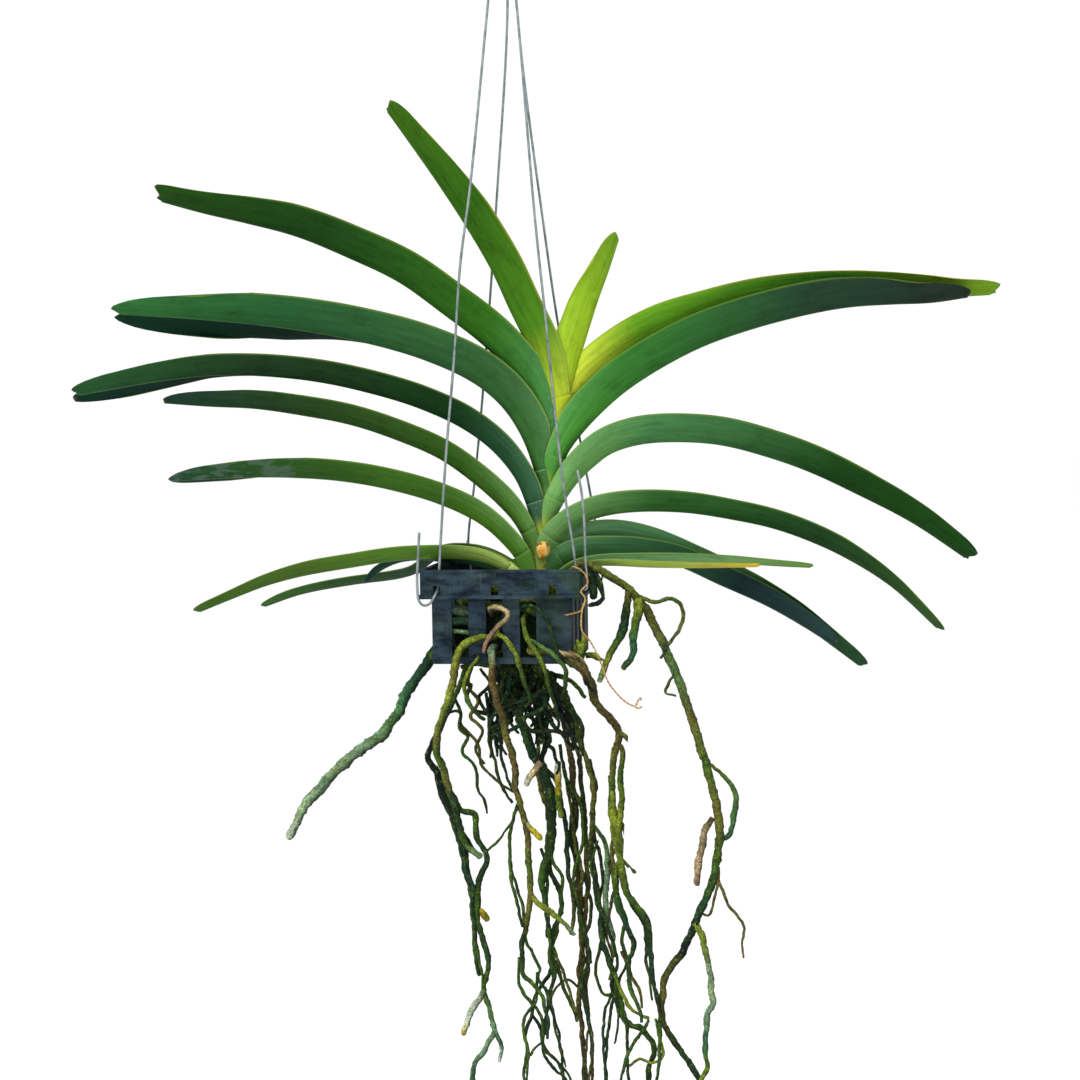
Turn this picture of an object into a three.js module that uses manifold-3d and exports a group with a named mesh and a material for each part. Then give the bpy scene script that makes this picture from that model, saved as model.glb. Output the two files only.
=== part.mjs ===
// A vanda orchid in a square slatted hanging basket: a two-ranked fan of strap leaves, a wire hanger,
// long aerial roots and a plant label on a tie. Millimetres, +Z up, the fan lies along X.
import * as THREE from "three";
import { mergeVertices } from "three/addons/utils/BufferGeometryUtils.js";
import Module from "manifold-3d";

const wasm = await Module();
wasm.setup();

// Driving dimensions. Heights are from the basket's rim, and the hook's inside is the part's origin.
const HOOK_HEIGHT = 480;
const HOOK_X = -6.5;
const CLEARANCE = 0.35;

const RIM_SIDE = 98;
const RIM_HEIGHT = 17.5;
const RIM_WALL = 2.4;
const LIP_STEP = 1.2;
const LIP_HEIGHT = 2.2;
const BODY_SIDE = 86;
const BODY_WALL = 2.2;
const BASKET_HEIGHT = 57.5;
const SLOT_WIDTH = 10;
const SLOT_CENTRES = [-25.5, -4.6, 16];
const SLOT_BOTTOM = -53.5;
const FLOOR_THICKNESS = 2.2;
const HOLE_CENTRES = [-38.5, -3.2, 32];
const HOLE_HEIGHT = -12.5;
const HOLE_WIDTH = 4.4;
const HOLE_LENGTH = 6;
const BASKET_TURN = THREE.MathUtils.degToRad(-7.5);
const BASKET_TILT = THREE.MathUtils.degToRad(-0.9);
const BASKET_X = -2;

const WIRE_RADIUS = 0.8;
const GATHER_HEIGHT = 425;
const NECK_LENGTH = 24;
const NECK_RADIUS = 1.65;
const NECK_TURNS = 0.75;
const NECK_SPANS = 6;
const HOOK_RADIUS = 9.8;

const BLADE_THICKNESS = 1.1;
const MARGIN_THICKNESS = 0.8;
const KEEL_THICKNESS = 1.9;
const NOTCH_DEPTH = 4.5;
const SHEATH_LENGTH = 24;
const SHEATH_STEPS = 2;
const MOST_BLADE_STEPS = 12;

const LABEL_LENGTH = 104;
const LABEL_WIDTH = 14;
const LABEL_THICKNESS = 0.8;
const LABEL_HOLE = 4;
const LABEL_HOLE_INSET = 5.5;
const TIE_RADIUS = 0.55;

const MATERIALS = {
  basket: new THREE.MeshStandardMaterial({ color: 0x2c3a41, roughness: 0.55, metalness: 0 }),
  wire: new THREE.MeshStandardMaterial({ color: 0x7d8c8c, roughness: 0.35, metalness: 0.9 }),
  leaf: new THREE.MeshStandardMaterial({ color: 0x2f6a26, roughness: 0.45, metalness: 0 }),
  youngLeaf: new THREE.MeshStandardMaterial({ color: 0x86b02a, roughness: 0.45, metalness: 0 }),
  oldLeaf: new THREE.MeshStandardMaterial({ color: 0x8f9a35, roughness: 0.5, metalness: 0 }),
  stem: new THREE.MeshStandardMaterial({ color: 0x8fa84a, roughness: 0.5, metalness: 0 }),
  bud: new THREE.MeshStandardMaterial({ color: 0xe0a133, roughness: 0.5, metalness: 0 }),
  darkRoot: new THREE.MeshStandardMaterial({ color: 0x34451f, roughness: 0.75, metalness: 0 }),
  brownRoot: new THREE.MeshStandardMaterial({ color: 0x6a6437, roughness: 0.75, metalness: 0 }),
  brightRoot: new THREE.MeshStandardMaterial({ color: 0x7d8f2c, roughness: 0.65, metalness: 0 }),
  dryRoot: new THREE.MeshStandardMaterial({ color: 0x8a7358, roughness: 0.9, metalness: 0 }),
  paleRoot: new THREE.MeshStandardMaterial({ color: 0xa3b79a, roughness: 0.8, metalness: 0 }),
  label: new THREE.MeshStandardMaterial({ color: 0xf4f4f1, roughness: 0.4, metalness: 0 }),
  tie: new THREE.MeshStandardMaterial({ color: 0xd7963c, roughness: 0.5, metalness: 0 }),
};

const FORWARD = new THREE.Vector3(0, -1, 0);
const vec = (x, y, z) => new THREE.Vector3(x, y, z);

// A closed geometry as a solid that can be joined and cut.
function solidOf(geometry) {
  const bare = geometry.clone();
  bare.deleteAttribute("normal");
  bare.deleteAttribute("uv");
  const merged = mergeVertices(bare, 1e-4);
  const mesh = new wasm.Mesh({
    numProp: 3,
    vertProperties: new Float32Array(merged.attributes.position.array),
    triVerts: new Uint32Array(merged.index.array),
  });
  return new wasm.Manifold(mesh);
}

function geometryOf(solid) {
  const mesh = solid.getMesh();
  const geometry = new THREE.BufferGeometry();
  const places = new Float32Array(mesh.numVert * 3);
  for (let i = 0; i < mesh.numVert; i++) {
    places.set(mesh.vertProperties.subarray(i * mesh.numProp, i * mesh.numProp + 3), i * 3);
  }
  geometry.setAttribute("position", new THREE.BufferAttribute(places, 3));
  geometry.setIndex(new THREE.BufferAttribute(new Uint32Array(mesh.triVerts), 1));
  geometry.computeVertexNormals();
  return geometry;
}

// Slivers that joins and cuts leave are dropped below this size.
const FINEST = 0.03;

const join = (solids) => solids.reduce((all, next) => all.add(next)).simplify(FINEST);

// The largest body of a cut solid, so that no scrap is left.
function largest(solid) {
  const bodies = solid.simplify(FINEST).decompose();
  return bodies.reduce((best, body) => (body.volume() > best.volume() ? body : best));
}

function indexed(places, faces) {
  const geometry = new THREE.BufferGeometry();
  geometry.setAttribute("position", new THREE.Float32BufferAttribute(places, 3));
  geometry.setIndex(faces);
  return geometry;
}

// A round tube along points, closed at both ends, whose radius goes through the listed values.
function tube(points, radii, sides, stepsPerSpan) {
  const curve = new THREE.CatmullRomCurve3(points, false, "centripetal");
  const steps = (points.length - 1) * stepsPerSpan;
  const normal = curve.getTangent(0).cross(vec(0.31, 0.92, 0.23)).normalize();
  const places = [];
  const faces = [];
  for (let i = 0; i <= steps; i++) {
    const centre = curve.getPoint(i / steps);
    const tangent = curve.getTangent(i / steps);
    normal.addScaledVector(tangent, -normal.dot(tangent)).normalize();
    const binormal = tangent.clone().cross(normal);
    const radius = mix(radii, i / steps);
    for (let j = 0; j < sides; j++) {
      const angle = (2 * Math.PI * j) / sides;
      const point = centre
        .clone()
        .addScaledVector(normal, radius * Math.cos(angle))
        .addScaledVector(binormal, radius * Math.sin(angle));
      places.push(...point.toArray());
    }
  }
  for (let i = 0; i < steps; i++) {
    for (let j = 0; j < sides; j++) {
      const a = i * sides + j;
      const b = i * sides + ((j + 1) % sides);
      faces.push(a, b, a + sides, b, b + sides, a + sides);
    }
  }
  const start = places.length / 3;
  const first = curve.getPoint(0).addScaledVector(curve.getTangent(0), -0.6 * radii[0]);
  const last = curve.getPoint(1).addScaledVector(curve.getTangent(1), 0.8 * radii.at(-1));
  places.push(...first.toArray(), ...last.toArray());
  for (let j = 0; j < sides; j++) {
    const next = (j + 1) % sides;
    faces.push(start, next, j);
    faces.push(start + 1, steps * sides + j, steps * sides + next);
  }
  return indexed(places, faces);
}

// A value that goes evenly through a list, at t from 0 to 1.
function mix(list, t) {
  const place = Math.min(Math.max(t, 0), 1) * (list.length - 1);
  const low = Math.min(Math.floor(place), list.length - 2);
  return THREE.MathUtils.lerp(list[low], list[low + 1], place - low);
}

// Basket

const basketFrame = new THREE.Object3D();
basketFrame.position.set(BASKET_X, 0, 0);
basketFrame.rotation.set(0, BASKET_TILT, BASKET_TURN, "ZYX");
basketFrame.updateMatrixWorld(true);

// A place in the basket's own frame, as a place in the plant's.
const inBasket = (x, y, z) => basketFrame.localToWorld(vec(x, y, z));

function box(width, depth, height, x, y, z) {
  return solidOf(new THREE.BoxGeometry(width, depth, height).translate(x, y, z));
}

// A square ring with an outer side, a wall and its top and bottom heights.
function squareRing(side, wall, top, bottom) {
  const height = top - bottom;
  const middle = (top + bottom) / 2;
  const outer = box(side, side, height, 0, 0, middle);
  return outer.subtract(box(side - 2 * wall, side - 2 * wall, height + 2, 0, 0, middle));
}

function quarterTurns(solid) {
  return join([0, 90, 180, 270].map((angle) => solid.rotate([0, 0, angle])));
}

function basketSolid() {
  const ledgeTop = -RIM_HEIGHT + LIP_HEIGHT;
  const rim = squareRing(RIM_SIDE, RIM_WALL, 0, -RIM_HEIGHT);
  const lip = squareRing(RIM_SIDE + 2 * LIP_STEP, RIM_WALL, ledgeTop, -RIM_HEIGHT);
  const ledgeWall = (RIM_SIDE - BODY_SIDE) / 2 + BODY_WALL;
  const ledge = squareRing(RIM_SIDE, ledgeWall, ledgeTop, -RIM_HEIGHT);
  const body = squareRing(BODY_SIDE, BODY_WALL, ledgeTop, -BASKET_HEIGHT);
  const floorMiddle = -BASKET_HEIGHT + FLOOR_THICKNESS / 2;
  const floor = box(BODY_SIDE, BODY_SIDE, FLOOR_THICKNESS, 0, 0, floorMiddle);

  const wallSlots = SLOT_CENTRES.map((x) => {
    const height = -RIM_HEIGHT - SLOT_BOTTOM;
    return box(SLOT_WIDTH, 4 * BODY_WALL, height, x, -BODY_SIDE / 2, (SLOT_BOTTOM - RIM_HEIGHT) / 2);
  });
  const floorSlots = SLOT_CENTRES.map((x) => {
    return box(SLOT_WIDTH, BODY_SIDE - 16, 4 * FLOOR_THICKNESS, x, 0, floorMiddle);
  });
  const holes = HOLE_CENTRES.map((x) => {
    return box(HOLE_WIDTH, 4 * RIM_WALL, HOLE_LENGTH, x, -RIM_SIDE / 2, HOLE_HEIGHT);
  });
  return join([rim, lip, ledge, body, floor])
    .subtract(quarterTurns(join([...wallSlots, ...holes])))
    .subtract(join(floorSlots))
    .simplify(FINEST);
}

// Hanger wires. Each one has a rim hole, the places of its foot in the basket's frame, and its bends above.

const WIRES = [
  {
    name: "hanger_wire_front_left",
    phase: 225,
    bends: [[-15, -7, 350], [-26.3, -19, 232], [-32.4, -24, 183], [-36, -30, 127], [-40.6, -35.5, 71]],
    foot: [
      [-35.8, -44, 24],
      [-37.4, -45, 0],
      [-38.3, -45.3, -10.4],
      [-38.4, -48, -12.6],
      [-39.4, -52, -15.6],
      [-42, -53.2, -19.8],
      [-45.4, -53.4, -21],
      [-48.4, -53.3, -18.6],
      [-49.6, -52.8, -8],
      [-48.9, -52, 8],
      [-48, -51.4, 23],
    ],
  },
  {
    name: "hanger_wire_back_left",
    phase: 135,
    bends: [[-3.9, 7, 350], [-11, 20, 226], [-20.2, 34, 105], [-25.6, 42, 50]],
    foot: [
      [-33.8, 44.4, 12],
      [-32.8, 45.3, -3],
      [-32.1, 45.3, -10.4],
      [-32, 48, -12.6],
      [-32.6, 51.6, -13],
      [-33.8, 52.6, -8],
      [-34.8, 52.4, 2],
      [-35.7, 52.2, 12],
    ],
  },
  {
    name: "hanger_wire_front_right",
    phase: 315,
    bends: [[4.2, -12, 315], [12.8, -23, 213], [18.8, -29, 156], [23.9, -34.5, 106], [29.9, -40, 52]],
    foot: [
      [43.8, -39.6, 12],
      [45.2, -39, -3],
      [45.3, -38.6, -10.4],
      [48, -38.5, -12.4],
      [51, -38.5, -12.8],
      [51.6, -39, -8],
      [51, -39.8, 4],
      [50.6, -40.6, 30],
      [49.4, -41.4, 46],
      [47.2, -41.6, 59],
    ],
  },
  {
    name: "hanger_wire_back_right",
    phase: 45,
    bends: [[4.4, 7, 315], [17.7, 17, 214], [27.8, 23, 146], [39, 26, 88]],
    foot: [
      [48.9, 31.2, 28],
      [50.8, 31.6, 10],
      [52.8, 31.9, -6],
      [53.5, 32, -11],
      [51.9, 32, -13.8],
      [48, 32, -12.6],
      [45.3, 32, -10.4],
      [45, 31.8, 2],
      [45, 31.4, 15],
    ],
  },
];

// The four wires wind round each other between the gather point and the top of the neck.
function neckPoint(phase, t) {
  const angle = THREE.MathUtils.degToRad(phase) + 2 * Math.PI * NECK_TURNS * t;
  const z = GATHER_HEIGHT + NECK_LENGTH * t;
  return vec(HOOK_X + NECK_RADIUS * Math.cos(angle), NECK_RADIUS * Math.sin(angle), z);
}

function wirePoints(wire) {
  const neck = Array.from({ length: NECK_SPANS + 1 }, (_, i) => neckPoint(wire.phase, 1 - i / NECK_SPANS));
  const bends = wire.bends.map((place) => vec(...place));
  const foot = wire.foot.map((place) => inBasket(...place));
  return [...neck, ...bends, ...foot];
}

// The wire that goes on past the neck: over to one side, round the hook and down to its free end.
function hookPoints(wire) {
  const centre = vec(HOOK_X, 0, HOOK_HEIGHT - HOOK_RADIUS + WIRE_RADIUS);
  const top = neckPoint(wire.phase, 1);
  const arc = [215, 180, 145, 110, 75, 40, 5, -30].map((degrees) => {
    const angle = THREE.MathUtils.degToRad(degrees);
    return vec(centre.x + HOOK_RADIUS * Math.cos(angle), 0, centre.z + HOOK_RADIUS * Math.sin(angle));
  });
  const freeEnd = vec(centre.x + HOOK_RADIUS * 0.98, 0, centre.z - HOOK_RADIUS * 0.95);
  arc.reverse();
  return [freeEnd, ...arc, vec(HOOK_X - 3.2, 0.2, top.z + 8.5), top];
}

function wireSolid(wire) {
  const points = wirePoints(wire);
  if (wire.name === "hanger_wire_back_left") {
    points.splice(0, 1, ...hookPoints(wire));
  }
  return solidOf(tube(points, [WIRE_RADIUS, WIRE_RADIUS], 6, 1));
}

// Leaves. Each has the points of its keel as [x, z] from its place on the stem outwards, its half width, the
// angles of its front and back halves from upright at its base, a third, two thirds and its tip, and its lean
// in depth at its base and tip. The first SHEATH_LENGTH of each clasps the stem and is part of it.

const LEAVES = [
  {
    name: "leaf_left_7", side: -1, half: 11.5, clasp: 8, material: "leaf",
    keel: [[12, -20], [6, -12], [-1, -6.5], [-12, 0], [-25, 3.5], [-46, 4.5], [-71, 3.5],
      [-101, -1], [-132, -6.5], [-154, -12.5], [-176, -21], [-197, -29]],
    front: [38, 42, 38, 45], back: [38, 60, 70, 75], lean: [0, -4, -6, -4],
  },
  {
    name: "leaf_left_8", side: -1, half: 10, clasp: 7.2, material: "leaf",
    keel: [[13, -21], [7, -14], [0, -6], [-14, 1], [-30, 4.8], [-46, 3.2], [-63, -8.5], [-75, -12.6],
      [-106, -17.2], [-139, -23.8], [-165, -33]],
    front: [40, 50, 55, 50], back: [40, 60, 70, 75], lean: [5, 16, 33, 51, 63, 75],
  },
  {
    name: "leaf_left_9", side: -1, half: 8, clasp: 6.5, material: "leaf",
    keel: [[13, -21], [8, -13], [0, -9], [-14, -4], [-28, -0.5], [-46, 1], [-60, 2], [-74, 0],
      [-86, -6], [-94, -14]],
    front: [40, 60, 55, 45], back: [40, 50, 55, 60], lean: [1, 14, 18, 18],
  },
  {
    name: "leaf_right_9", side: 1, half: 8.5, clasp: 8, material: "oldLeaf",
    keel: [[14, -21], [20, -13], [29, -5], [40, 2.2], [50, 4.6], [62, 3.6], [80, 1.5], [103, 0.6],
      [128, 0.8], [150, 1.2]],
    front: [40, 38, 42, 60], back: [40, 80, 85, 85], lean: [-1, -24, -30, -30],
  },
  {
    name: "leaf_right_8", side: 1, half: 9, clasp: 7, material: "leaf",
    keel: [[15, -20], [20, -12], [29, -3], [40, 2.5], [52, 4.2], [75, 4], [105, 3.2], [135, 2.2],
      [160, 0.6], [184, -0.6]],
    front: [40, 52, 55, 60], back: [40, 84, 88, 88], lean: [0, -10, -13, -13],
  },
  {
    name: "leaf_right_7", side: 1, half: 13, clasp: 8, material: "leaf",
    keel: [[15, -19], [20, -12], [28, -3], [41, 2.8], [60, 4.2], [80, 3.5], [101, -0.5], [128, -12.5],
      [158, -26], [181, -39], [200, -51]],
    front: [35, 35, 20, 25], back: [35, 60, 62, 70], lean: [1, 4, 5, 5],
  },
  {
    name: "leaf_left_6", side: -1, half: 13, clasp: 8, material: "leaf",
    keel: [[13, -16], [8, -8], [2, 3], [-7, 14], [-21, 26], [-46, 38], [-79, 47.5], [-109, 52.5],
      [-140, 54.5], [-169, 54.5], [-191, 53.5], [-213, 52]],
    front: [30, 25, 30, 48], back: [30, 60, 80, 105], lean: [0, -3, 0, 0],
  },
  {
    name: "leaf_right_6", side: 1, half: 13.5, clasp: 7.4, material: "leaf",
    keel: [[16, -12], [21, -4], [30, 6], [42, 12.5], [60, 15], [83, 11], [113, -1], [143, -15.5],
      [173, -32.5], [196, -49], [216, -63]],
    front: [32, 25, 25, 38], back: [32, 62, 70, 70], lean: [1, 12, 14, 11],
  },
  {
    name: "leaf_left_5", side: -1, half: 13, clasp: 7, material: "leaf",
    keel: [[15, -3], [11, 6], [7, 15], [0, 27], [-10, 38], [-26, 52], [-46, 66], [-71, 77],
      [-101, 87], [-132, 93], [-160, 97], [-190, 98.5], [-214, 100.5]],
    front: [28, 28, 35, 30], back: [28, 62, 75, 90], lean: [0, 1, 2, 0],
  },
  {
    name: "leaf_right_5", side: 1, half: 14, clasp: 6.8, material: "leaf",
    keel: [[18, -8], [21, 3], [27, 13], [35, 21.5], [44, 27], [56, 31], [75, 33.5], [106, 33], [136, 28.5],
      [159, 23.5], [181, 16], [205, 5], [234, -13], [264, -40]],
    front: [28, 22, 30, 48], back: [28, 58, 65, 66], lean: [0, -6, -5, 2],
  },
  {
    name: "leaf_left_4", side: -1, half: 14.5, clasp: 6.4, material: "leaf",
    keel: [[15, 14], [12, 24], [8, 38], [1, 54], [-13, 71], [-32, 85], [-58, 97], [-83, 105], [-118, 113],
      [-153, 117], [-185, 117.5], [-215, 114.5], [-245, 109.5], [-272, 104.5]],
    front: [26, 22, 28, 30], back: [26, 60, 80, 118], lean: [0, 0, 0, -4],
  },
  {
    name: "leaf_right_4", side: 1, half: 18.5, clasp: 5.8, material: "leaf",
    keel: [[21, 16], [24, 28], [29, 40], [37, 52], [47, 61], [60, 69.5], [78, 75], [101, 76.5],
      [128, 74.5], [159, 66.5], [184, 57.5], [211, 45], [248, 26], [282, 4]],
    front: [22, 16, 22, 40], back: [22, 55, 66, 72], lean: [0, -4, 0, 8],
  },
  {
    name: "leaf_left_3", side: -1, half: 22.5, clasp: 5.2, material: "leaf",
    keel: [[19, 34], [16, 46], [12, 62], [5, 80], [-7, 98], [-25, 113], [-58, 128], [-100, 139.5],
      [-130, 145], [-161, 149], [-201, 152.5], [-243, 155]],
    front: [20, 14, 24, 38], back: [20, 58, 96, 126], lean: [0, 2, 0, -5],
  },
  {
    name: "leaf_right_3", side: 1, half: 21.5, clasp: 4.6, material: "leaf",
    keel: [[25, 42], [28, 55], [32, 68], [41, 81], [53, 94], [69, 108], [93, 123.5], [118, 136], [150, 147],
      [186, 156], [208, 159.5], [232, 161], [256, 162], [279, 165.5]],
    front: [18, 12, 16, 40], back: [18, 55, 62, 66], lean: [0, -3, -6, -8],
  },
  {
    name: "leaf_left_2", side: -1, half: 22, clasp: 4, material: "leaf",
    keel: [[24, 62], [21, 75], [15, 92], [7, 108], [-6, 124], [-22, 139], [-43, 155], [-71, 175], [-100, 189],
      [-134, 203], [-164, 211], [-192, 217.5], [-218, 225]],
    front: [16, 12, 24, 40], back: [16, 52, 66, 100], lean: [0, 1, 4, 6],
  },
  {
    name: "leaf_right_2", side: 1, half: 18, clasp: 3.2, material: "youngLeaf",
    keel: [[27, 66], [29, 79], [33, 93], [40, 107], [52, 121], [68, 133], [92, 145], [119, 153], [150, 160],
      [183, 164.5], [215, 166.4], [248, 166.8], [276, 166.4], [297, 167.6]],
    front: [14, 18, 30, 48], back: [14, 50, 62, 62], lean: [0, 6, 6, 4],
  },
  {
    name: "leaf_left_1", side: -1, half: 18.5, clasp: 2.6, material: "youngLeaf",
    keel: [[27, 78], [24, 92], [18, 110], [8, 134], [-4, 157], [-17, 182], [-31, 207], [-47, 233], [-62, 256],
      [-77, 281]],
    front: [12, 14, 20, 38], back: [12, 46, 60, 70], lean: [0, -2, -6, -8],
  },
  {
    name: "leaf_right_1", side: 1, half: 16.5, clasp: 2, material: "youngLeaf",
    keel: [[29, 84], [31, 95], [34.5, 109], [39.5, 126], [45, 144], [51, 163], [57.5, 181], [64, 200]],
    front: [10, 14, 22, 42], back: [10, 44, 52, 58], lean: [0, -1, 2, 6],
  },
  {
    name: "leaf_heart", side: -1, half: 5.5, clasp: 1.2, material: "youngLeaf",
    keel: [[30, 92], [29.3, 102], [27.6, 114], [25.6, 126], [23, 138], [20.5, 150]],
    front: [10, 14, 18, 30], back: [10, 20, 30, 35], lean: [0, 0, 0, 0],
  },
];

const WIDTH_PROFILE = [0.72, 0.84, 0.95, 1, 1, 1, 0.98, 0.95, 0.9, 0.84, 0.74, 0.58];

// The path of a leaf's keel, with its lean in depth.
function keelPath(leaf) {
  const points = leaf.keel.map(([x, z], i) => {
    return vec(x, mix(leaf.lean, i / (leaf.keel.length - 1)), z);
  });
  return new THREE.CatmullRomCurve3(points, false, "centripetal");
}

// One cross-section of a leaf: five columns from the front margin over the keel to the back margin, each with
// a point on the inner face and one on the outer face.
function leafSection(leaf, path, length, distance, extra) {
  const t = distance / length;
  const tangent = path.getTangentAt(Math.min(t, 1));
  const up = leaf.side < 0
    ? tangent.clone().cross(FORWARD).normalize()
    : FORWARD.clone().cross(tangent).normalize();
  const near = up.clone().cross(tangent).multiplyScalar(leaf.side < 0 ? 1 : -1).normalize();
  const width = leaf.half * mix(WIDTH_PROFILE, t);
  const claspAngle = Math.asin(Math.min(leaf.clasp / width, 0.9));
  const hold = THREE.MathUtils.smoothstep(distance, SHEATH_LENGTH, SHEATH_LENGTH + 45);
  const degrees = THREE.MathUtils.degToRad;
  const frontAngle = THREE.MathUtils.lerp(claspAngle, degrees(mix(leaf.front, t)), hold);
  const backAngle = THREE.MathUtils.lerp(claspAngle, degrees(mix(leaf.back, t)), hold);
  const bulge = THREE.MathUtils.lerp(0.2, 0.05, hold);

  const halves = [
    { angle: frontAngle, sign: 1 },
    { angle: backAngle, sign: -1 },
  ].map(({ angle, sign }) => ({
    along: up.clone().multiplyScalar(Math.cos(angle)).addScaledVector(near, sign * Math.sin(angle)),
    inward: up.clone().multiplyScalar(Math.sin(angle)).addScaledVector(near, -sign * Math.cos(angle)),
  }));
  const keelInward = halves[0].inward.clone().add(halves[1].inward).normalize();

  const column = (half, share, thickness) => ({
    offset: half.along
      .clone()
      .multiplyScalar(share * (width + extra))
      .addScaledVector(half.inward, -4 * share * (1 - share) * bulge * width),
    inward: half.inward,
    thickness: thickness + 2 * extra,
  });
  return [
    column(halves[0], 1, MARGIN_THICKNESS),
    column(halves[0], 0.5, BLADE_THICKNESS),
    { offset: vec(0, 0, 0), inward: keelInward, thickness: KEEL_THICKNESS + 2 * extra },
    column(halves[1], 0.5, BLADE_THICKNESS),
    column(halves[1], 1, MARGIN_THICKNESS),
  ];
}

// A stretch of a leaf as a closed solid. A stretch that reaches the tip ends in two lobes and a notch.
function leafSolid(leaf, from, to, steps, extra = 0) {
  const path = keelPath(leaf);
  const length = path.getLength();
  const end = Math.min(to, length);
  const notched = to >= length;
  const inner = [];
  const outer = [];
  for (let i = 0; i <= steps; i++) {
    const distance = THREE.MathUtils.lerp(from, end, i / steps);
    const section = leafSection(leaf, path, length, distance, extra);
    const narrowing = notched && i === steps ? 0.62 : 1;
    section.forEach((column, c) => {
      const isLobe = c === 1 || c === 3;
      const back = notched && i === steps && !isLobe ? NOTCH_DEPTH : 0;
      const place = path.getPointAt(Math.max(distance - back, 0) / length);
      const shift = notched && i === steps && isLobe ? 0.9 : narrowing;
      const centre = place.addScaledVector(column.offset, shift);
      inner.push(centre.clone().addScaledVector(column.inward, column.thickness / 2));
      outer.push(centre.clone().addScaledVector(column.inward, -column.thickness / 2));
    });
  }
  return solidOf(thinSheet(inner, outer, steps + 1, 5, leaf.side));
}

// The closed skin of a thin sheet: both faces are split along the same diagonals.
function thinSheet(inner, outer, rows, columns, side) {
  const places = [...inner, ...outer].flatMap((point) => point.toArray());
  const under = inner.length;
  const faces = [];
  const triangle = (a, b, c) => (side < 0 ? faces.push(a, c, b) : faces.push(a, b, c));
  const quad = (a, b, c, d) => {
    triangle(a, b, c);
    triangle(a, c, d);
  };
  for (let i = 0; i < rows - 1; i++) {
    for (let j = 0; j < columns - 1; j++) {
      const a = i * columns + j;
      const b = a + columns;
      quad(a, b, b + 1, a + 1);
      triangle(under + a, under + b + 1, under + b);
      triangle(under + a, under + a + 1, under + b + 1);
    }
    const left = i * columns;
    const right = left + columns - 1;
    quad(left, under + left, under + left + columns, left + columns);
    quad(right, right + columns, under + right + columns, under + right);
  }
  for (let j = 0; j < columns - 1; j++) {
    const last = (rows - 1) * columns + j;
    quad(j, j + 1, under + j + 1, under + j);
    quad(last, under + last, under + last + 1, last + 1);
  }
  return indexed(places, faces);
}

// The stem: a flat tapering core in the fan's plane, joined with the sheath of each leaf.
const STEM_AXIS = [[12, -21], [15, -6], [17.5, 10], [20.5, 32], [24, 60], [27.5, 88], [30, 110]];
const STEM_HALF_WIDTH = [7, 7.5, 7, 6.5, 5, 3.4, 1.6];
const STEM_HALF_DEPTH = [6.5, 6.5, 5.6, 4.8, 3.4, 2.2, 1.1];

function stemCore(extra) {
  const sides = 10;
  const places = [];
  const faces = [];
  const rows = STEM_AXIS.length;
  STEM_AXIS.forEach(([x, z], i) => {
    for (let j = 0; j < sides; j++) {
      const angle = (2 * Math.PI * j) / sides;
      const wide = (STEM_HALF_WIDTH[i] + extra) * Math.cos(angle);
      places.push(x + wide, (STEM_HALF_DEPTH[i] + extra) * Math.sin(angle), z);
    }
  });
  for (let i = 0; i < rows - 1; i++) {
    for (let j = 0; j < sides; j++) {
      const a = i * sides + j;
      const b = i * sides + ((j + 1) % sides);
      faces.push(a, b, a + sides, b, b + sides, a + sides);
    }
  }
  for (let j = 1; j < sides - 1; j++) {
    const top = (rows - 1) * sides;
    faces.push(0, j + 1, j);
    faces.push(top, top + j, top + j + 1);
  }
  return solidOf(indexed(places, faces));
}

// A sheath is a leaf's lower part, filled from its keel to its margins because it clasps the stem.
function sheathSolid(leaf, extra) {
  const path = keelPath(leaf);
  const length = path.getLength();
  const places = [];
  const faces = [];
  const rings = SHEATH_STEPS + 1;
  for (let i = 0; i < rings; i++) {
    const distance = ((SHEATH_LENGTH + extra) * i) / SHEATH_STEPS;
    const section = leafSection(leaf, path, length, distance, extra);
    for (const column of section) {
      const point = path.getPointAt(distance / length).add(column.offset);
      places.push(...point.addScaledVector(column.inward, -column.thickness / 2).toArray());
    }
  }
  const triangle = (a, b, c) => (leaf.side < 0 ? faces.push(a, c, b) : faces.push(a, b, c));
  for (let i = 0; i < rings - 1; i++) {
    for (let j = 0; j < 5; j++) {
      const a = i * 5 + j;
      const b = i * 5 + ((j + 1) % 5);
      triangle(a, b, a + 5);
      triangle(b, b + 5, a + 5);
    }
  }
  const top = 5 * (rings - 1);
  for (let j = 1; j < 4; j++) {
    triangle(0, j + 1, j);
    triangle(top, top + j, top + j + 1);
  }
  return solidOf(indexed(places, faces));
}

function stemSolid(extra) {
  const sheaths = LEAVES.map((leaf) => sheathSolid(leaf, extra));
  return join([stemCore(extra), ...sheaths]).simplify(2 * FINEST);
}

// Each blade starts at its joint on the sheath, and is trimmed where a leaf in front of it or a sheath passes.
function bladeSolids(fatStem) {
  const blades = [];
  for (const leaf of LEAVES) {
    const steps = Math.min(leaf.keel.length, MOST_BLADE_STEPS);
    let blade = leafSolid(leaf, SHEATH_LENGTH + CLEARANCE, Infinity, steps);
    blade = blade.subtract(fatStem);
    for (const earlier of blades) {
      if (blade.intersect(earlier.fat).volume() > 0) {
        blade = blade.subtract(earlier.fat);
      }
    }
    const fat = leafSolid(leaf, SHEATH_LENGTH, Infinity, steps, CLEARANCE);
    blades.push({ leaf, solid: largest(blade), fat });
  }
  return blades;
}

// Roots

const BALL_TOP = -23.6;
const BALL_HALF = 31;
const THICK_ROOT = 2;

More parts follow.
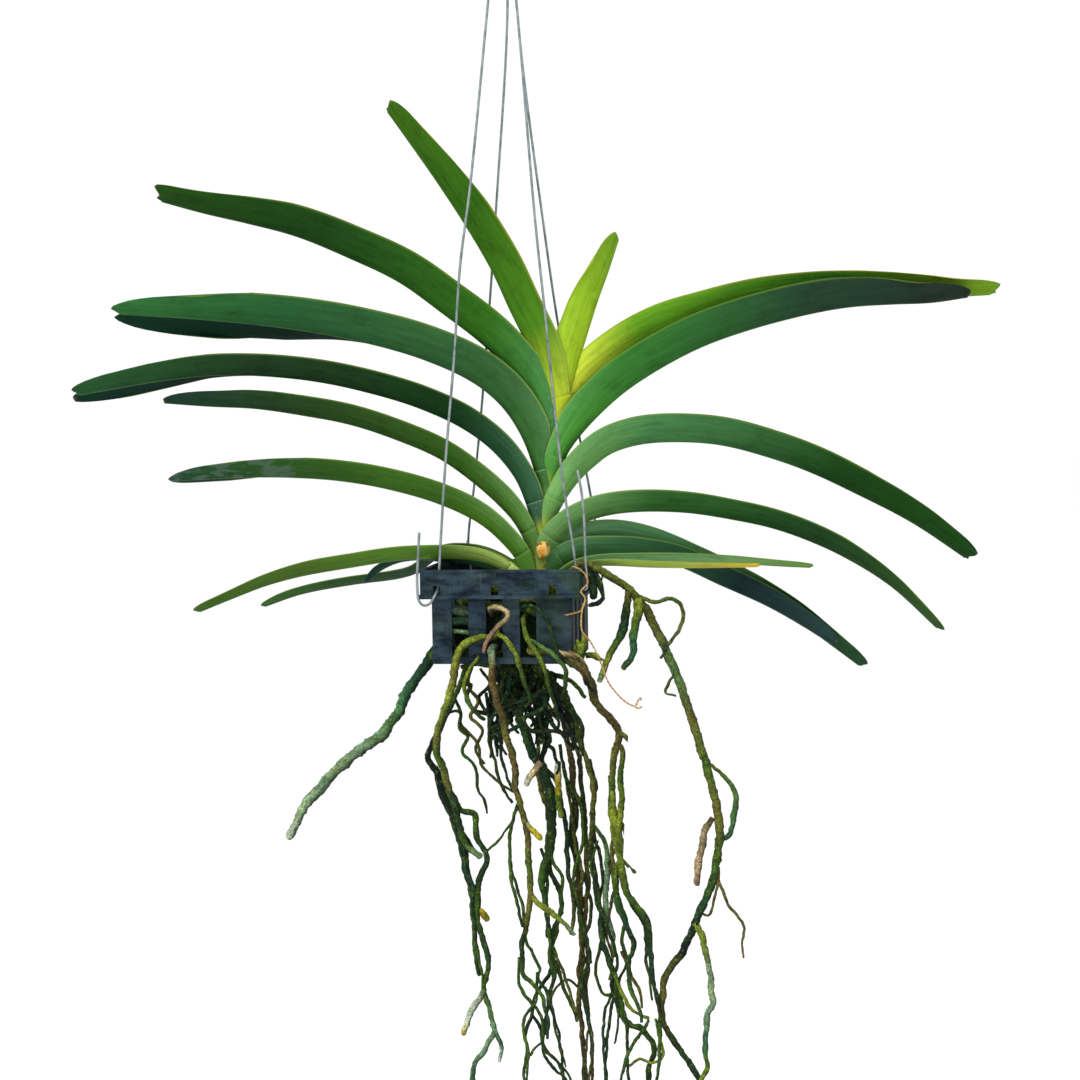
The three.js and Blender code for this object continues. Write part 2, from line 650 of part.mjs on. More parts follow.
// The ball of roots in the basket: a low lumpy core, with roots that arch out of it behind the rim.
function ballCore(extra) {
  const height = BASKET_HEIGHT - FLOOR_THICKNESS - 0.4 + BALL_TOP;
  const side = 2 * (BALL_HALF + extra);
  const core = new THREE.BoxGeometry(side, side, height + 2 * extra, 4, 4, 2);
  const place = core.attributes.position;
  for (let i = 0; i < place.count; i++) {
    const x = place.getX(i);
    const y = place.getY(i);
    const z = place.getZ(i);
    const lump = 1 + 0.05 * Math.sin(0.31 * x + 0.23 * z) * Math.cos(0.27 * y - 0.19 * z);
    place.setXYZ(i, x * lump, y * lump, z);
  }
  core.translate(0, 0, BALL_TOP - height / 2);
  return solidOf(core);
}

function seededRandom(seed) {
  let state = seed;
  return () => {
    state = (state * 1664525 + 1013904223) % 4294967296;
    return state / 4294967296;
  };
}

const ARCH = [
  [-27, -30, -30], [-19, -36, -15.6], [-3, -41.6, -12.2], [12, -40.4, -12.4], [21, -35, -17.2],
  [25, -28, -31],
];

function ballSolid(extra) {
  const arches = [0, 90, 180].map((angle) => {
    const points = ARCH.map((place) => vec(...place));
    return solidOf(tube(points, [1.8 + extra, 2.3 + extra, 1.8 + extra], 5, 1)).rotate([0, 0, angle]);
  });
  const local = join([ballCore(extra), ...arches]).simplify(5 * FINEST);
  return local.transform(Array.from(basketFrame.matrixWorld.elements));
}

// Roots as [x, y, z] from the basket out to the tip. A place marked "in" is in the basket's frame.
const inside = (x, y, z) => inBasket(x, y, z);
const [slotLeft, slotMiddle, slotRight] = SLOT_CENTRES;

// The lowest root under the floor, which the short curly ones hang from.
const TANGLE_COUNT = 9;
const TANGLE_ROOT = [
  [-33, -10, -63], [-29, -10.5, -62], [-18, -15, -60.8], [-9, -19, -62], [2, -18, -61.4], [11, -16, -62.6],
  [13.6, -23, -63.4], [26, -20, -67], [38, -16.4, -73], [44, -15, -82],
];

const ROOTS = [
  {
    node: "root_left_pale", material: "paleRoot", strands: [
      {
        from: [inside(-30, -slotMiddle, -42), inside(-38, -slotMiddle, -46), inside(-46, -slotMiddle, -48.8)],
        to: [[-57, 9, -62], [-63, 8, -75], [-76, 6, -99], [-97, 4, -117], [-118, 2, -137], [-129, 0, -150],
          [-142, -1, -172]],
        radii: [3.4, 3.7, 3.7, 3.5, 3.3, 2.6],
      },
    ],
  },
  {
    node: "root_left_bright", material: "brightRoot", strands: [
      {
        from: [inside(slotMiddle + 1, -28, -37), inside(slotMiddle, -44.5, -40)],
        to: [[-22, -47.5, -41.5], [-32.5, -46.5, -49], [-36, -45, -65], [-40, -40, -82], [-46, -34, -100],
          [-46.5, -30, -114], [-42, -27, -128], [-36, -25, -146], [-29, -23, -172], [-20, -22, -180]],
        radii: [2.4, 2.8, 2.8, 2.7, 2.9, 2.3],
      },
      {
        from: [vec(-14.6, -45.6, -40.4)],
        to: [[-9, -47.4, -39.8], [-3.9, -47.8, -42.6], [1.6, -47.8, -51.4], [5.1, -46, -63.4], [8.2, -42, -73],
          [10, -39, -82]],
        radii: [1.7, 1.8, 1.7, 1.2],
      },
      {
        from: [vec(-37, -25, -141)],
        to: [[-33, -23, -149], [-24.5, -21, -153], [-23.6, -20, -165], [-18, -20, -176], [-17, -20, -184],
          [-21, -20, -193], [-23, -20, -206], [-22.5, -20, -221], [-17.5, -19, -237], [-16.2, -19, -251],
          [-18, -19, -262], [-15, -18, -277], [-12.5, -18, -288], [-17, -18, -299], [-24, -18, -308],
          [-26, -17, -322], [-30, -17, -341], [-29, -16, -359]],
        radii: [2.2, 2.3, 2.2, 2, 1.9, 1.7, 1.2],
      },
      {
        from: [vec(-14, -18, -284)],
        to: [[-10.5, -18, -292], [-8, -17.5, -300], [-9.4, -17, -309]],
        radii: [1.8, 1.7, 1.3],
      },
      {
        from: [vec(-18, -19, -262)],
        to: [[-21.5, -19.5, -268], [-26.8, -20.5, -277], [-32, -21.5, -291]],
        radii: [1.8, 2.3, 2.3, 1.8],
      },
      {
        from: [vec(-18, -20, -177)],
        to: [[-10, -21, -170], [-4, -22, -162], [0.5, -22.5, -153]],
        radii: [1, 0.9, 0.8],
      },
    ],
  },
  {
    node: "root_front_olive", material: "brownRoot", strands: [
      {
        from: [inside(slotMiddle - 1, -28, -48), inside(slotMiddle - 1, -44, -49)],
        to: [[-13, -47.5, -56], [-12.6, -46, -70], [-7, -42, -92], [-3, -38, -107], [1, -35, -121],
          [1.8, -33, -136], [4.8, -31, -149], [8, -30, -161], [9, -29, -180], [10, -28, -203], [7.3, -27, -222],
          [4.8, -27, -238], [6, -26, -252], [13, -25, -259], [18, -25, -267], [20.5, -24, -280], [20.6, -24, -293]],
        radii: [2.2, 2.6, 2.3, 2.2, 2.2, 2, 1.6, 1.2],
      },
      {
        from: [vec(6.5, -30.5, -155)],
        to: [[11.5, -32, -161], [17.5, -33, -166.5]],
        radii: [1.8, 2.1, 1.6],
      },
      {
        from: [vec(9.8, -28, -200)],
        to: [[14, -29, -206], [26, -30, -215], [38, -30, -226]],
        radii: [2, 2.3, 2.1, 1.5],
      },
      {
        from: [vec(3.2, -32, -143)],
        to: [[-1.5, -31, -158], [-2.6, -30, -176], [-1.6, -29, -192], [2, -28, -206], [5.5, -27.4, -222]],
        radii: [1.4, 1.4, 1.3, 1.2],
      },
    ],
  },
  {
    node: "root_front_dry", material: "dryRoot", strands: [
      {
        from: [inside(-6, -28, -32), inside(-7, -42, -24)],
        to: [[-12.6, -46.6, -21.8], [-8, -49, -22], [-3.4, -49.4, -26.4], [-8, -49.6, -33.4], [-12, -51, -38.4],
          [-15.4, -51.6, -43.4], [-18.2, -50.8, -50]],
        radii: [1.2, 1.4, 1.5, 1.7, 1.4, 1.2],
      },
    ],
  },
  {
    node: "root_front_thin", material: "brightRoot", strands: [
      {
        from: [inside(slotRight - 2, -28, -27), inside(slotRight - 2.4, -44.6, -30)],
        to: [[6.5, -47.6, -36], [9.8, -50.2, -43], [14.5, -53.6, -50.5], [18.5, -54, -57], [21, -50, -69],
          [25, -43, -82], [28, -38, -92]],
        radii: [1.5, 1.7, 1.5, 1.2],
      },
      {
        from: [inside(13.5, -28, -26), inside(13, -43.5, -22.8)],
        to: [[9, -48.4, -20.9], [16, -50, -24.3], [21.5, -50.8, -33], [24, -52, -42], [28.4, -55.2, -53]],
        radii: [1.1, 1.2, 1.2, 1.1],
      },
      {
        from: [vec(8.8, -49.4, -41.4)],
        to: [[13, -51.6, -43], [19, -54.6, -47], [25.5, -55.4, -51.5], [30.5, -55.2, -57.6], [32, -52, -67],
          [30, -46, -78]],
        radii: [1.2, 1.5, 1.6, 1.3],
      },
    ],
  },
  {
    node: "root_dark_bundle", material: "darkRoot", strands: [
      {
        from: [inside(slotLeft, -14, -44), inside(slotLeft, -14, -58)],
        to: [[-35, -13, -78], [-43, -14, -94], [-49.5, -17, -107], [-53, -18, -118], [-47, -17, -128],
          [-44, -16, -140], [-36, -15, -160], [-31, -14, -181], [-26.8, -13, -202], [-25, -12.6, -220],
          [-24.5, -12.6, -238], [-21.5, -12.6, -256]],
        radii: [2, 2.1, 2.2, 2.4, 3, 3.2, 2.4, 2.1, 1.6],
      },
      {
        from: [vec(-46, -16.5, -131)],
        to: [[-40, -14, -150], [-33, -11, -165], [-26, -10, -176], [-21.5, -9.5, -181]],
        radii: [2.4, 2.8, 2.6, 1.6],
      },
      {
        from: [vec(-37, -13, -82)],
        to: [[-32.5, -12, -91], [-33, -11, -99], [-23.5, -10, -109], [-21, -9, -121], [-16, -9, -128],
          [-8, -9, -136], [0, -9, -141]],
        radii: [1.5, 1.5, 1.4, 1.3, 1.1],
      },
      {
        from: [vec(-34, -13, -74)],
        to: [[-27, -10, -74], [-30, -8, -82], [-24, -7, -91], [-15, -6, -93], [-12, -5, -103], [-11, -4, -120]],
        radii: [1.7, 1.6, 1.4, 1],
      },
      {
        from: [inside(slotMiddle, -20, -46), inside(slotMiddle, -20, -62)],
        to: [[-1, -17, -74], [1, -16, -84], [10, -15, -112], [19, -14, -130], [23, -14, -148], [21.6, -13, -177],
          [17, -13, -195], [20, -13, -212], [20.6, -12, -232]],
        radii: [2.3, 2.3, 2.2, 2.2, 2, 1.7, 1.2],
      },
      {
        from: [inside(slotMiddle, 2, -46), inside(slotMiddle, 2, -62)],
        to: [[-2, -2, -76], [4, -8, -95], [13, -11, -117], [17, -10, -140], [24, -8, -165], [22.5, -8, -190],
          [28.5, -8, -206], [27, -8, -225], [23, -8, -240], [28, -8, -256], [34, -8, -272], [40, -8, -286]],
        radii: [2.1, 2.2, 2.3, 2, 2, 1.8, 1.2],
      },
      {
        from: [vec(-1.5, -6, -79)],
        to: [[-7, -3, -90], [-9, -1, -101], [-15, 1, -112], [-12, 2, -124], [-8, 3, -139], [-1, 3, -150]],
        radii: [1.5, 1.5, 1.4, 1.3, 1],
      },
      {
        from: [inside(slotRight - 1, -14, -46), inside(slotRight - 1, -14, -62)],
        to: [[13, -14, -78], [16, -12, -94], [22, -12, -107], [17, -12, -121], [26, -10, -134], [30, -9, -152],
          [33, -8, -167], [33.5, -6, -190], [37, -4, -211], [36, -4, -232]],
        radii: [2, 2, 1.9, 1.8, 1.8, 1.4],
      },
      {
        from: [vec(25, -8, -248)],
        to: [[21, -8, -257], [13.5, -9, -268], [11, -9, -281], [7, -9, -292], [8, -9, -303], [6, -8, -321],
          [9, -8, -339]],
        radii: [1.4, 1.5, 1.4, 1.3, 0.9],
      },
      {
        from: [vec(11, -9, -281)],
        to: [[17, -8, -292], [18, -8, -305], [25, -7, -316], [33, -6, -325], [33, -6, -345]],
        radii: [1.3, 1.3, 1.2, 1, 0.8],
      },
      {
        from: [inside(slotRight + 2, -22, -46), inside(slotRight + 2, -22, -62)],
        to: [[27, -20, -78], [38, -16, -96], [42, -13, -112], [48.5, -12, -134], [48.5, -10, -154],
          [48, -9, -177], [51, -9, -200], [54, -8, -220], [55, -8, -237], [62, -8, -255], [64, -8, -272],
          [72, -8, -288], [80, -7, -291], [87, -6, -302], [84, -6, -318], [86, -6, -342], [82, -5, -368]],
        radii: [2, 2, 2, 2.1, 2.2, 2.3, 2.4, 2.4, 2.2, 2, 1.3],
      },
      {
        from: [vec(54.5, -8, -234)],
        to: [[52, -7, -246], [51, -6, -258], [56, -5, -269], [64, -5, -269]],
        radii: [1.4, 1.3, 1.2, 1.2],
      },
      {
        from: [vec(63, -8, -268)],
        to: [[60, -6, -280], [58, -5, -300], [57, -5, -322], [59, -5, -346]],
        radii: [1.4, 1.3, 1.2, 0.8],
      },
      {
        from: [vec(62, -8, -258)],
        to: [[67, -10, -275], [70, -11, -292], [70, -12, -308], [72, -12, -326], [69, -12, -340]],
        radii: [1.5, 1.5, 1.4, 1.2, 0.9],
      },
      {
        from: [vec(48, -10, -160)],
        to: [[56, -9, -172], [58, -8, -186], [57, -7, -201], [58, -6, -220], [61.5, -6, -232], [62.5, -5, -246]],
        radii: [1.4, 1.8, 2.3, 2.3, 2, 1.3],
      },
      {
        from: [],
        to: TANGLE_ROOT,
        radii: [1.6, 2.1, 2.1, 1.9, 1.5],
      },
      {
        from: [vec(-9, -19, -64)],
        to: [[-7, -8, -63], [-6, 2, -63.4], [-3, 8, -70], [-6, 9, -82], [-2, 6, -95]],
        radii: [1.8, 1.7, 1.4, 1],
      },
    ],
  },
  {
    node: "root_centre_brown", material: "brownRoot", strands: [
      {
        from: [inside(slotRight + 2, 4, -46), inside(slotRight + 2, 4, -62)],
        to: [[22, 4, -78], [31, 3, -100], [36, 2, -130], [37.5, 2, -154], [38, 3, -177], [41, 4, -206],
          [41.8, 5, -228], [42, 5, -250], [40.5, 5, -277], [43.5, 6, -305], [44, 6, -332], [47, 6, -358],
          [45, 6, -382]],
        radii: [2.2, 2.4, 2.8, 3, 2.8, 2.7, 2.4, 2, 1.4],
      },
      {
        from: [vec(30, 3, -98)],
        to: [[39, 0, -115], [42, -1, -140], [44, 0, -160], [45, 2, -184], [46, 4, -205], [44, 5, -226],
          [46, 5, -250], [45, 5, -272], [47, 6, -290], [49, 7, -310], [49, 8, -330]],
        radii: [1.9, 2.1, 2.3, 2.2, 2, 1.8, 1.3],
      },
      {
        from: [vec(40.8, 5, -268)],
        to: [[33, 3, -262], [24, 3, -270], [25, 3, -290], [29, 3, -306], [32, 3, -318]],
        radii: [1.1, 1.1, 1.1, 1, 0.8],
      },
    ],
  },
  {
    node: "root_right_corner", material: "brightRoot", strands: [
      {
        from: [inside(slotRight + 1, -28, -46.6), inside(slotRight + 2, -45.4, -50)],
        to: [[29, -51, -51.5], [36, -52.6, -54.5], [42.5, -51.5, -60], [46, -47.6, -69], [49, -42, -80], [58, -36, -91],
          [64, -32, -101], [62, -30, -112], [60.5, -28, -126], [60.6, -26, -142], [60, -25, -156], [63, -23, -168],
          [66, -22, -180], [68, -21, -195], [72, -20, -206], [80, -19, -216], [84, -18, -236], [87, -17, -262],
          [90, -16, -280], [90, -15, -304], [88, -15, -322]],
        radii: [2, 2.6, 2.6, 2.4, 2.3, 2.6, 2.6, 2.3, 1.9, 1.6, 1.2],
      },
      {
        from: [vec(62, -31, -107)],
        to: [[66.5, -29, -112], [65, -28, -128], [66, -26, -142], [65.6, -24.5, -156], [70, -22.5, -168],
          [72, -21, -182], [75, -20, -190]],
        radii: [2, 2.1, 2.2, 2.2, 1.9, 1.4],
      },
      {
        from: [vec(63.4, -32.4, -100)],
        to: [[70, -31, -105], [74, -29, -114], [76, -27, -124], [73, -25, -136], [73, -24, -148], [70.5, -23, -162]],
        radii: [1.8, 1.8, 1.7, 1.6, 1.3],
      },
      {
        from: [vec(66, -22, -178)],
        to: [[63, -20, -192], [64, -19, -208], [69, -18, -222], [74, -17, -234], [70, -17, -248], [72, -17, -262],
          [78, -17, -276], [80, -17, -284]],
        radii: [2.1, 2.3, 2.4, 2.2, 1.7, 1.2],
      },
    ],
  },
  {
    node: "root_right_long", material: "brightRoot", strands: [
      {
        from: [vec(28, -31, -21), vec(32.5, -34.5, -10), vec(37, -36, 0.6)],
        to: [[41.5, -36.5, 4.1], [48, -36, 0.9], [55.5, -35, -3], [63, -33, -7.6], [72, -30, -14.6],
          [80, -26, -25], [92, -22, -49.5],
          [101, -20, -70], [115, -19, -112], [124.5, -18, -146], [126.8, -17, -166], [124, -16, -192],
          [112.7, -15, -220], [103, -14, -243], [94.5, -13, -255], [92, -13, -268], [92.5, -12, -285],
          [100, -12, -298], [113, -11, -317], [121, -10, -338], [123, -10, -352]],
        radii: [1.8, 2, 2.4, 2.7, 2.9, 2.9, 2.9, 2.8, 2.8, 2.5, 2.3, 1.8],
      },
      {
        from: [vec(74, -29, -17)],
        to: [[81, -29, -19.4], [89, -29, -21.5], [95.5, -28, -18.8], [100, -27, -20.5], [103.2, -26, -27],
          [100.6, -26, -40], [93.5, -26.6, -48], [89.5, -27, -56]],
        radii: [1.7, 1.6, 1.5, 1.4, 1.4, 1],
      },
      {
        from: [vec(71, -30, -14)],
        to: [[70, -30.5, -22], [68, -31, -34], [60, -31, -52], [54.5, -31, -67]],
        radii: [2, 2.6, 2.5, 1.6],
      },
      {
        from: [vec(76.5, -28.4, -21)],
        to: [[75, -31, -28], [72.7, -32, -40], [71.8, -32, -53], [66.5, -32, -63]],
        radii: [2.6, 2.9, 2.7, 1.8],
      },
      {
        from: [vec(99, -20, -66)],
        to: [[95.5, -19, -71], [93, -18.5, -79], [100, -18, -80]],
        radii: [1.2, 1.1, 1, 0.8],
      },
      {
        from: [vec(115.4, -19, -114)],
        to: [[121, -17, -123], [130.5, -16, -129], [136.5, -15, -144], [137, -14, -156], [131, -14, -171]],
        radii: [1.3, 1.3, 1.3, 1.2, 0.9],
      },
      {
        from: [vec(124.6, -18, -150)],
        to: [[120, -17, -163], [116.5, -16, -178], [113.4, -16, -197]],
        radii: [1.6, 1.8, 1.8, 1.2],
      },
      {
        from: [vec(125, -16.4, -184)],
        to: [[128.6, -15, -198], [133, -15, -211], [141, -14, -226], [142, -14, -246]],
        radii: [1.2, 1.2, 1.1, 1.1, 0.8],
      },
      {
        from: [vec(114.5, -15.4, -216)],
        to: [[116, -16, -228], [119.5, -16, -248], [123, -16, -266], [120, -16, -284], [119.5, -16, -304],
          [116, -16, -322], [117, -16, -338]],
        radii: [2, 2.3, 2.2, 2.1, 1.9, 1.3],
      },
    ],
  },
];

// Short curly roots that hang from the lowest ones under the basket's floor.
function tangleStrands() {
  const random = seededRandom(23);
  const draw = (reach) => reach * (2 * random() - 1);
  const strands = [];
  for (let i = 0; i < TANGLE_COUNT; i++) {
    const t = i / (TANGLE_COUNT - 1);
    const along = TANGLE_ROOT[Math.floor(t * (TANGLE_ROOT.length - 1.01))];
    const next = TANGLE_ROOT[Math.floor(t * (TANGLE_ROOT.length - 1.01)) + 1];
    let point = vec(...along).lerp(vec(...next), random());
    const points = [point];
    const bends = 3 + Math.floor(2.5 * random());
    for (let k = 0; k < bends; k++) {
      point = point.clone().add(vec(draw(9), draw(5), -7 - 6 * random()));
      point.y = THREE.MathUtils.clamp(point.y, -29, -8);
      points.push(point);
    }
    strands.push({ from: points, to: [], radii: [1.6, 1.4, 1.2, 0.8] });
  }
  return strands;
}

function strandSolid(strand) {
  const points = [...strand.from, ...strand.to.map((place) => vec(...place))];
  const stepsPerSpan = points.length > 5 ? 1 : 2;
  const sides = Math.max(...strand.radii) > THICK_ROOT ? 5 : 4;
  return solidOf(tube(points, strand.radii, sides, stepsPerSpan));
}

// The root bud: a short blunt cone with its point up, on the front of the stem.
function budSolid(fatStem) {
  const shape = new THREE.SphereGeometry(1, 10, 6).rotateX(Math.PI / 2).scale(3.7, 4, 5.2);
  return largest(solidOf(shape.translate(17.6, -10.4, 8.4)).subtract(fatStem));
}

// Label and tie

const LABEL_TOP = vec(77.4, -39, -80);
const LABEL_LEAN = THREE.MathUtils.degToRad(2.2);

function labelSolid() {
  const shape = new THREE.Shape();
  const half = LABEL_WIDTH / 2;
  const corner = 2.5;
  shape.moveTo(0, 0);
  shape.absarc(half - corner, -corner, corner, Math.PI / 2, 0, true);
  shape.lineTo(half, -LABEL_LENGTH + half);
  shape.lineTo(0, -LABEL_LENGTH);
  shape.lineTo(-half, -LABEL_LENGTH + half);
  shape.absarc(-half + corner, -corner, corner, Math.PI, Math.PI / 2, true);
  const strip = new THREE.ExtrudeGeometry(shape, {
    depth: LABEL_THICKNESS,
    bevelEnabled: false,
    curveSegments: 4,
  });
  strip.rotateX(Math.PI / 2);
  const hole = new THREE.CylinderGeometry(LABEL_HOLE / 2, LABEL_HOLE / 2, 4, 10);
  hole.translate(0, 0, -LABEL_HOLE_INSET);
  const [label, bore] = [strip, hole].map((shape) => {
    return solidOf(shape.rotateY(LABEL_LEAN).translate(...LABEL_TOP.toArray()));
  });
  return label.subtract(bore);
}

const TIE_LOOP = [
  [31, -51.4, -27], [36, -55.4, -25.5], [40.5, -58.6, -23.5], [42.8, -60.4, -16], [40.4, -60.6, -12],
  [44.4, -60.2, -7], [42.6, -59.4, -1.5], [38, -56, 1.9], [35, -50, 1.6], [33.6, -46, -3],
];
const TIE_LEAD = [
  [42, -59.6, -19], [40.6, -59, -28], [41.2, -58, -36], [45.8, -56, -42], [50.6, -53, -51], [54, -50, -60],
  [57.2, -47, -68], [63, -44, -76], [69, -42.4, -81.4], [73.4, -42, -83.4],
];
const TIE_EYE = [
  [73, -42.1, -83.4], [75.2, -41.4, -84.6], [77.1, -39.4, -84.4], [78, -37.6, -83.2], [77.6, -37.4, -80.6],
  [76.8, -39.2, -78.5], [75.6, -41.3, -79.6], [74, -42, -83],
];

function tieSolid() {
  const strands = [TIE_LOOP, TIE_LEAD, TIE_EYE].map((places) => {
    return solidOf(tube(places.map((place) => vec(...place)), [TIE_RADIUS, TIE_RADIUS], 5, 1));
  });
  return join(strands);
}

// The whole part

const part = new THREE.Group();
const plant = new THREE.Group();
plant.position.set(-HOOK_X, 0, -HOOK_HEIGHT);
part.add(plant);

function place(name, solid, material) {
  const mesh = new THREE.Mesh(geometryOf(solid), MATERIALS[material]);
  mesh.name = name;
  plant.add(mesh);
}

const basketMatrix = Array.from(basketFrame.matrixWorld.elements);
place("basket", basketSolid().transform(basketMatrix), "basket");
for (const wire of WIRES) {
  place(wire.name, wireSolid(wire), "wire");
}

const fatStem = stemSolid(CLEARANCE);
place("stem", stemSolid(0), "stem");
place("root_bud", budSolid(fatStem), "bud");
for (const { leaf, solid } of bladeSolids(fatStem)) {
  place(leaf.name, solid, leaf.material);
}

place("root_ball", ballSolid(0), "darkRoot");
const fatBall = ballSolid(CLEARANCE);
for (const { node, material, strands } of ROOTS) {
  const all = node === "root_dark_bundle" ? [...strands, ...tangleStrands()] : strands;
  const roots = join(all.map(strandSolid)).subtract(fatBall).simplify(4 * FINEST);
  place(node, largest(roots), material);
}

place("plant_label", labelSolid(), "label");
place("label_tie", tieSolid(), "tie");

export default part;
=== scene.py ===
import math
import random

import bmesh
import bpy
from mathutils import Matrix, Vector, noise


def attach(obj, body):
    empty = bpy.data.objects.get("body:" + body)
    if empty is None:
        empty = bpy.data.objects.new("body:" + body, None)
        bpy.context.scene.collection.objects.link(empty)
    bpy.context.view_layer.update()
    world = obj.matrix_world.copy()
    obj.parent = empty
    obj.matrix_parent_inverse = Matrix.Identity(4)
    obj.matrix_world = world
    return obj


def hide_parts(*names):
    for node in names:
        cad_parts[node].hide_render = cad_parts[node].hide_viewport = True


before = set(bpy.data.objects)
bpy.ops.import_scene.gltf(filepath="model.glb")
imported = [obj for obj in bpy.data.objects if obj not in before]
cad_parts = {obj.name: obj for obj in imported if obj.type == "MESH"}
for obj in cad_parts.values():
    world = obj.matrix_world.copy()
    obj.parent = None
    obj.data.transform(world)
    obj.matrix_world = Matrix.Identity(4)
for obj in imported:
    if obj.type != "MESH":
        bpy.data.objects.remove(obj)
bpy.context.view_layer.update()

scene = bpy.context.scene
scene.view_settings.view_transform = "Standard"

# The plant is drawn in millimetres from the middle of the basket's rim, as in the CAD source.
# The frame's origin is inside the hook, and the frame is in metres.
hook = {"x": -6.5, "height": 480, "radius": 9.8}
towardViewer = Vector((0, -1, 0))


def toFrame(point):
    return Vector((point[0] - hook["x"], point[1], point[2] - hook["height"])) / 1000


# Camera, at the photo's height and distance

photoCamera = {"away": 1500, "target": (16, 0, 15), "pitch": 3.5, "lens": 80.63, "sensor": 36, "clipEnd": 50}


def addCamera():
    data = bpy.data.cameras.new("photo_camera")
    data.lens = photoCamera["lens"]
    data.sensor_width = photoCamera["sensor"]
    data.clip_end = photoCamera["clipEnd"]
    camera = bpy.data.objects.new("photo_camera", data)
    pitch = math.radians(photoCamera["pitch"])
    back = Vector((0, -math.cos(pitch), math.sin(pitch))) * photoCamera["away"]
    camera.location = toFrame(Vector(photoCamera["target"]) + back)
    camera.rotation_euler = (math.pi / 2 - pitch, 0, 0)
    scene.collection.objects.link(camera)
    scene.camera = camera


addCamera()
print("camera placed")


# Shader maths. A Value is one socket of a finish, so that a mask can be written as 1 - edge * 0.5.

class Value:
    def __init__(self, finish, socket):
        self.finish = finish
        self.socket = socket

    def maths(self, operation, *values):
        return self.finish.node("ShaderNodeMath", {"operation": operation}, values)

    def __add__(self, other):
        return self.maths("ADD", self, other)

    def __mul__(self, other):
        return self.maths("MULTIPLY", self, other)

    def __sub__(self, other):
        return self.maths("SUBTRACT", self, other)

    def __rsub__(self, other):
        return self.maths("SUBTRACT", other, self)

    def __truediv__(self, other):
        return self.maths("DIVIDE", self, other)

    def __abs__(self):
        return self.maths("ABSOLUTE", self)

    __radd__ = __add__
    __rmul__ = __mul__


class Finish:
    def __init__(self, name, **constants):
        self.material = bpy.data.materials.new(name)
        self.material.use_nodes = True
        self.tree = self.material.node_tree
        self.shader = self.tree.nodes["Principled BSDF"]
        for socket, value in constants.items():
            self.shader.inputs[socket.replace("_", " ")].default_value = value

    def plug(self, socket, value):
        if isinstance(value, Value):
            self.tree.links.new(value.socket, socket)
        else:
            socket.default_value = value

    def node(self, kind, settings, values, output=0):
        made = self.tree.nodes.new(kind)
        for setting, choice in settings.items():
            setattr(made, setting, choice)
        named = values.items() if isinstance(values, dict) else enumerate(values)
        for socket, value in named:
            self.plug(made.inputs[socket], value)
        return Value(self, made.outputs[output])

    def drawn(self, name, output="Fac"):
        return self.node("ShaderNodeAttribute", {"attribute_name": name}, {}, output)

    def place(self):
        return self.node("ShaderNodeTexCoord", {}, {}, "Object")

    def sideways(self, vector):
        # how far a place or a direction goes to the right
        return self.node("ShaderNodeSeparateXYZ", {}, [vector])

    def stretched(self, x, y, z=0.0):
        return self.node("ShaderNodeCombineXYZ", {}, [x, y, z])

    def speckle(self, vector, scale, detail=3.0, rough=0.55, warp=0.0):
        values = {"Vector": vector, "Scale": scale, "Detail": detail, "Roughness": rough, "Distortion": warp}
        return self.node("ShaderNodeTexNoise", {}, values)

    def speckles(self, vector, noises):
        # one speckle for each row of scale, detail, roughness and distortion
        return [self.speckle(vector, *values) for values in noises.values()]

    def brushed(self, vector, scale, detail):
        # noise that is finer one way than another, as scale says for across, deep and up
        scaled = self.node("ShaderNodeMapping", {}, {"Vector": vector, "Scale": scale})
        return self.speckle(scaled, 1.0, detail)

    def between(self, value, low, high):
        # nothing below low and full above high, or the other way round
        values = [value, low, high, 0.0, 1.0]
        return self.node("ShaderNodeMapRange", {"interpolation_type": "SMOOTHSTEP"}, values)

    def ramp(self, value, stops):
        made = self.node("ShaderNodeValToRGB", {}, [value])
        elements = made.socket.node.color_ramp.elements
        while len(elements) < len(stops):
            elements.new(0.5)
        for element, (place, colour) in zip(elements, stops):
            element.position = place
            element.color = colour
        return made

    def mix(self, share, first, second, blend="MIX"):
        settings = {"data_type": "RGBA", "blend_type": blend, "clamp_factor": True}
        return self.node("ShaderNodeMix", settings, {0: share, 6: first, 7: second}, 2)

    def layered(self, colour, skin, masks, own=None):
        # lays colours over each other, each by its mask and its strength, which a leaf can have of its own
        for part, mask in masks.items():
            shown, strength = skin[part]
            colour = self.mix(mask * (own or {}).get(part, strength), colour, tint(*shown))
        return colour

    def shade(self, colour, amount):
        grey = self.node("ShaderNodeCombineColor", {}, [amount, amount, amount])
        return self.mix(1.0, colour, grey, "MULTIPLY")

    def bump(self, height, depth, strength=1.0):
        values = {"Height": height, "Distance": depth, "Strength": strength}
        return self.node("ShaderNodeBump", {}, values)

    def done(self, **varying):
        for socket, value in varying.items():
            self.plug(self.shader.inputs[socket.replace("_", " ")], value)
        return self.material


def tint(red, green, blue):
    # a colour as the eye reads it on a screen, 0 to 255, as the shader's light values
    def light(share):
        return share / 12.92 if share <= 0.04045 else ((share + 0.055) / 1.055) ** 2.4
    return tuple(light(part / 255) for part in (red, green, blue)) + (1.0,)


# Shared geometry

def along(values, t):
    place = min(max(t, 0), 1) * (len(values) - 1)
    low = min(int(place), len(values) - 2)
    return values[low] + (values[low + 1] - values[low]) * (place - low)


def eased(value, low, high):
    t = min(max((value - low) / (high - low), 0), 1)
    return t * t * (3 - 2 * t)


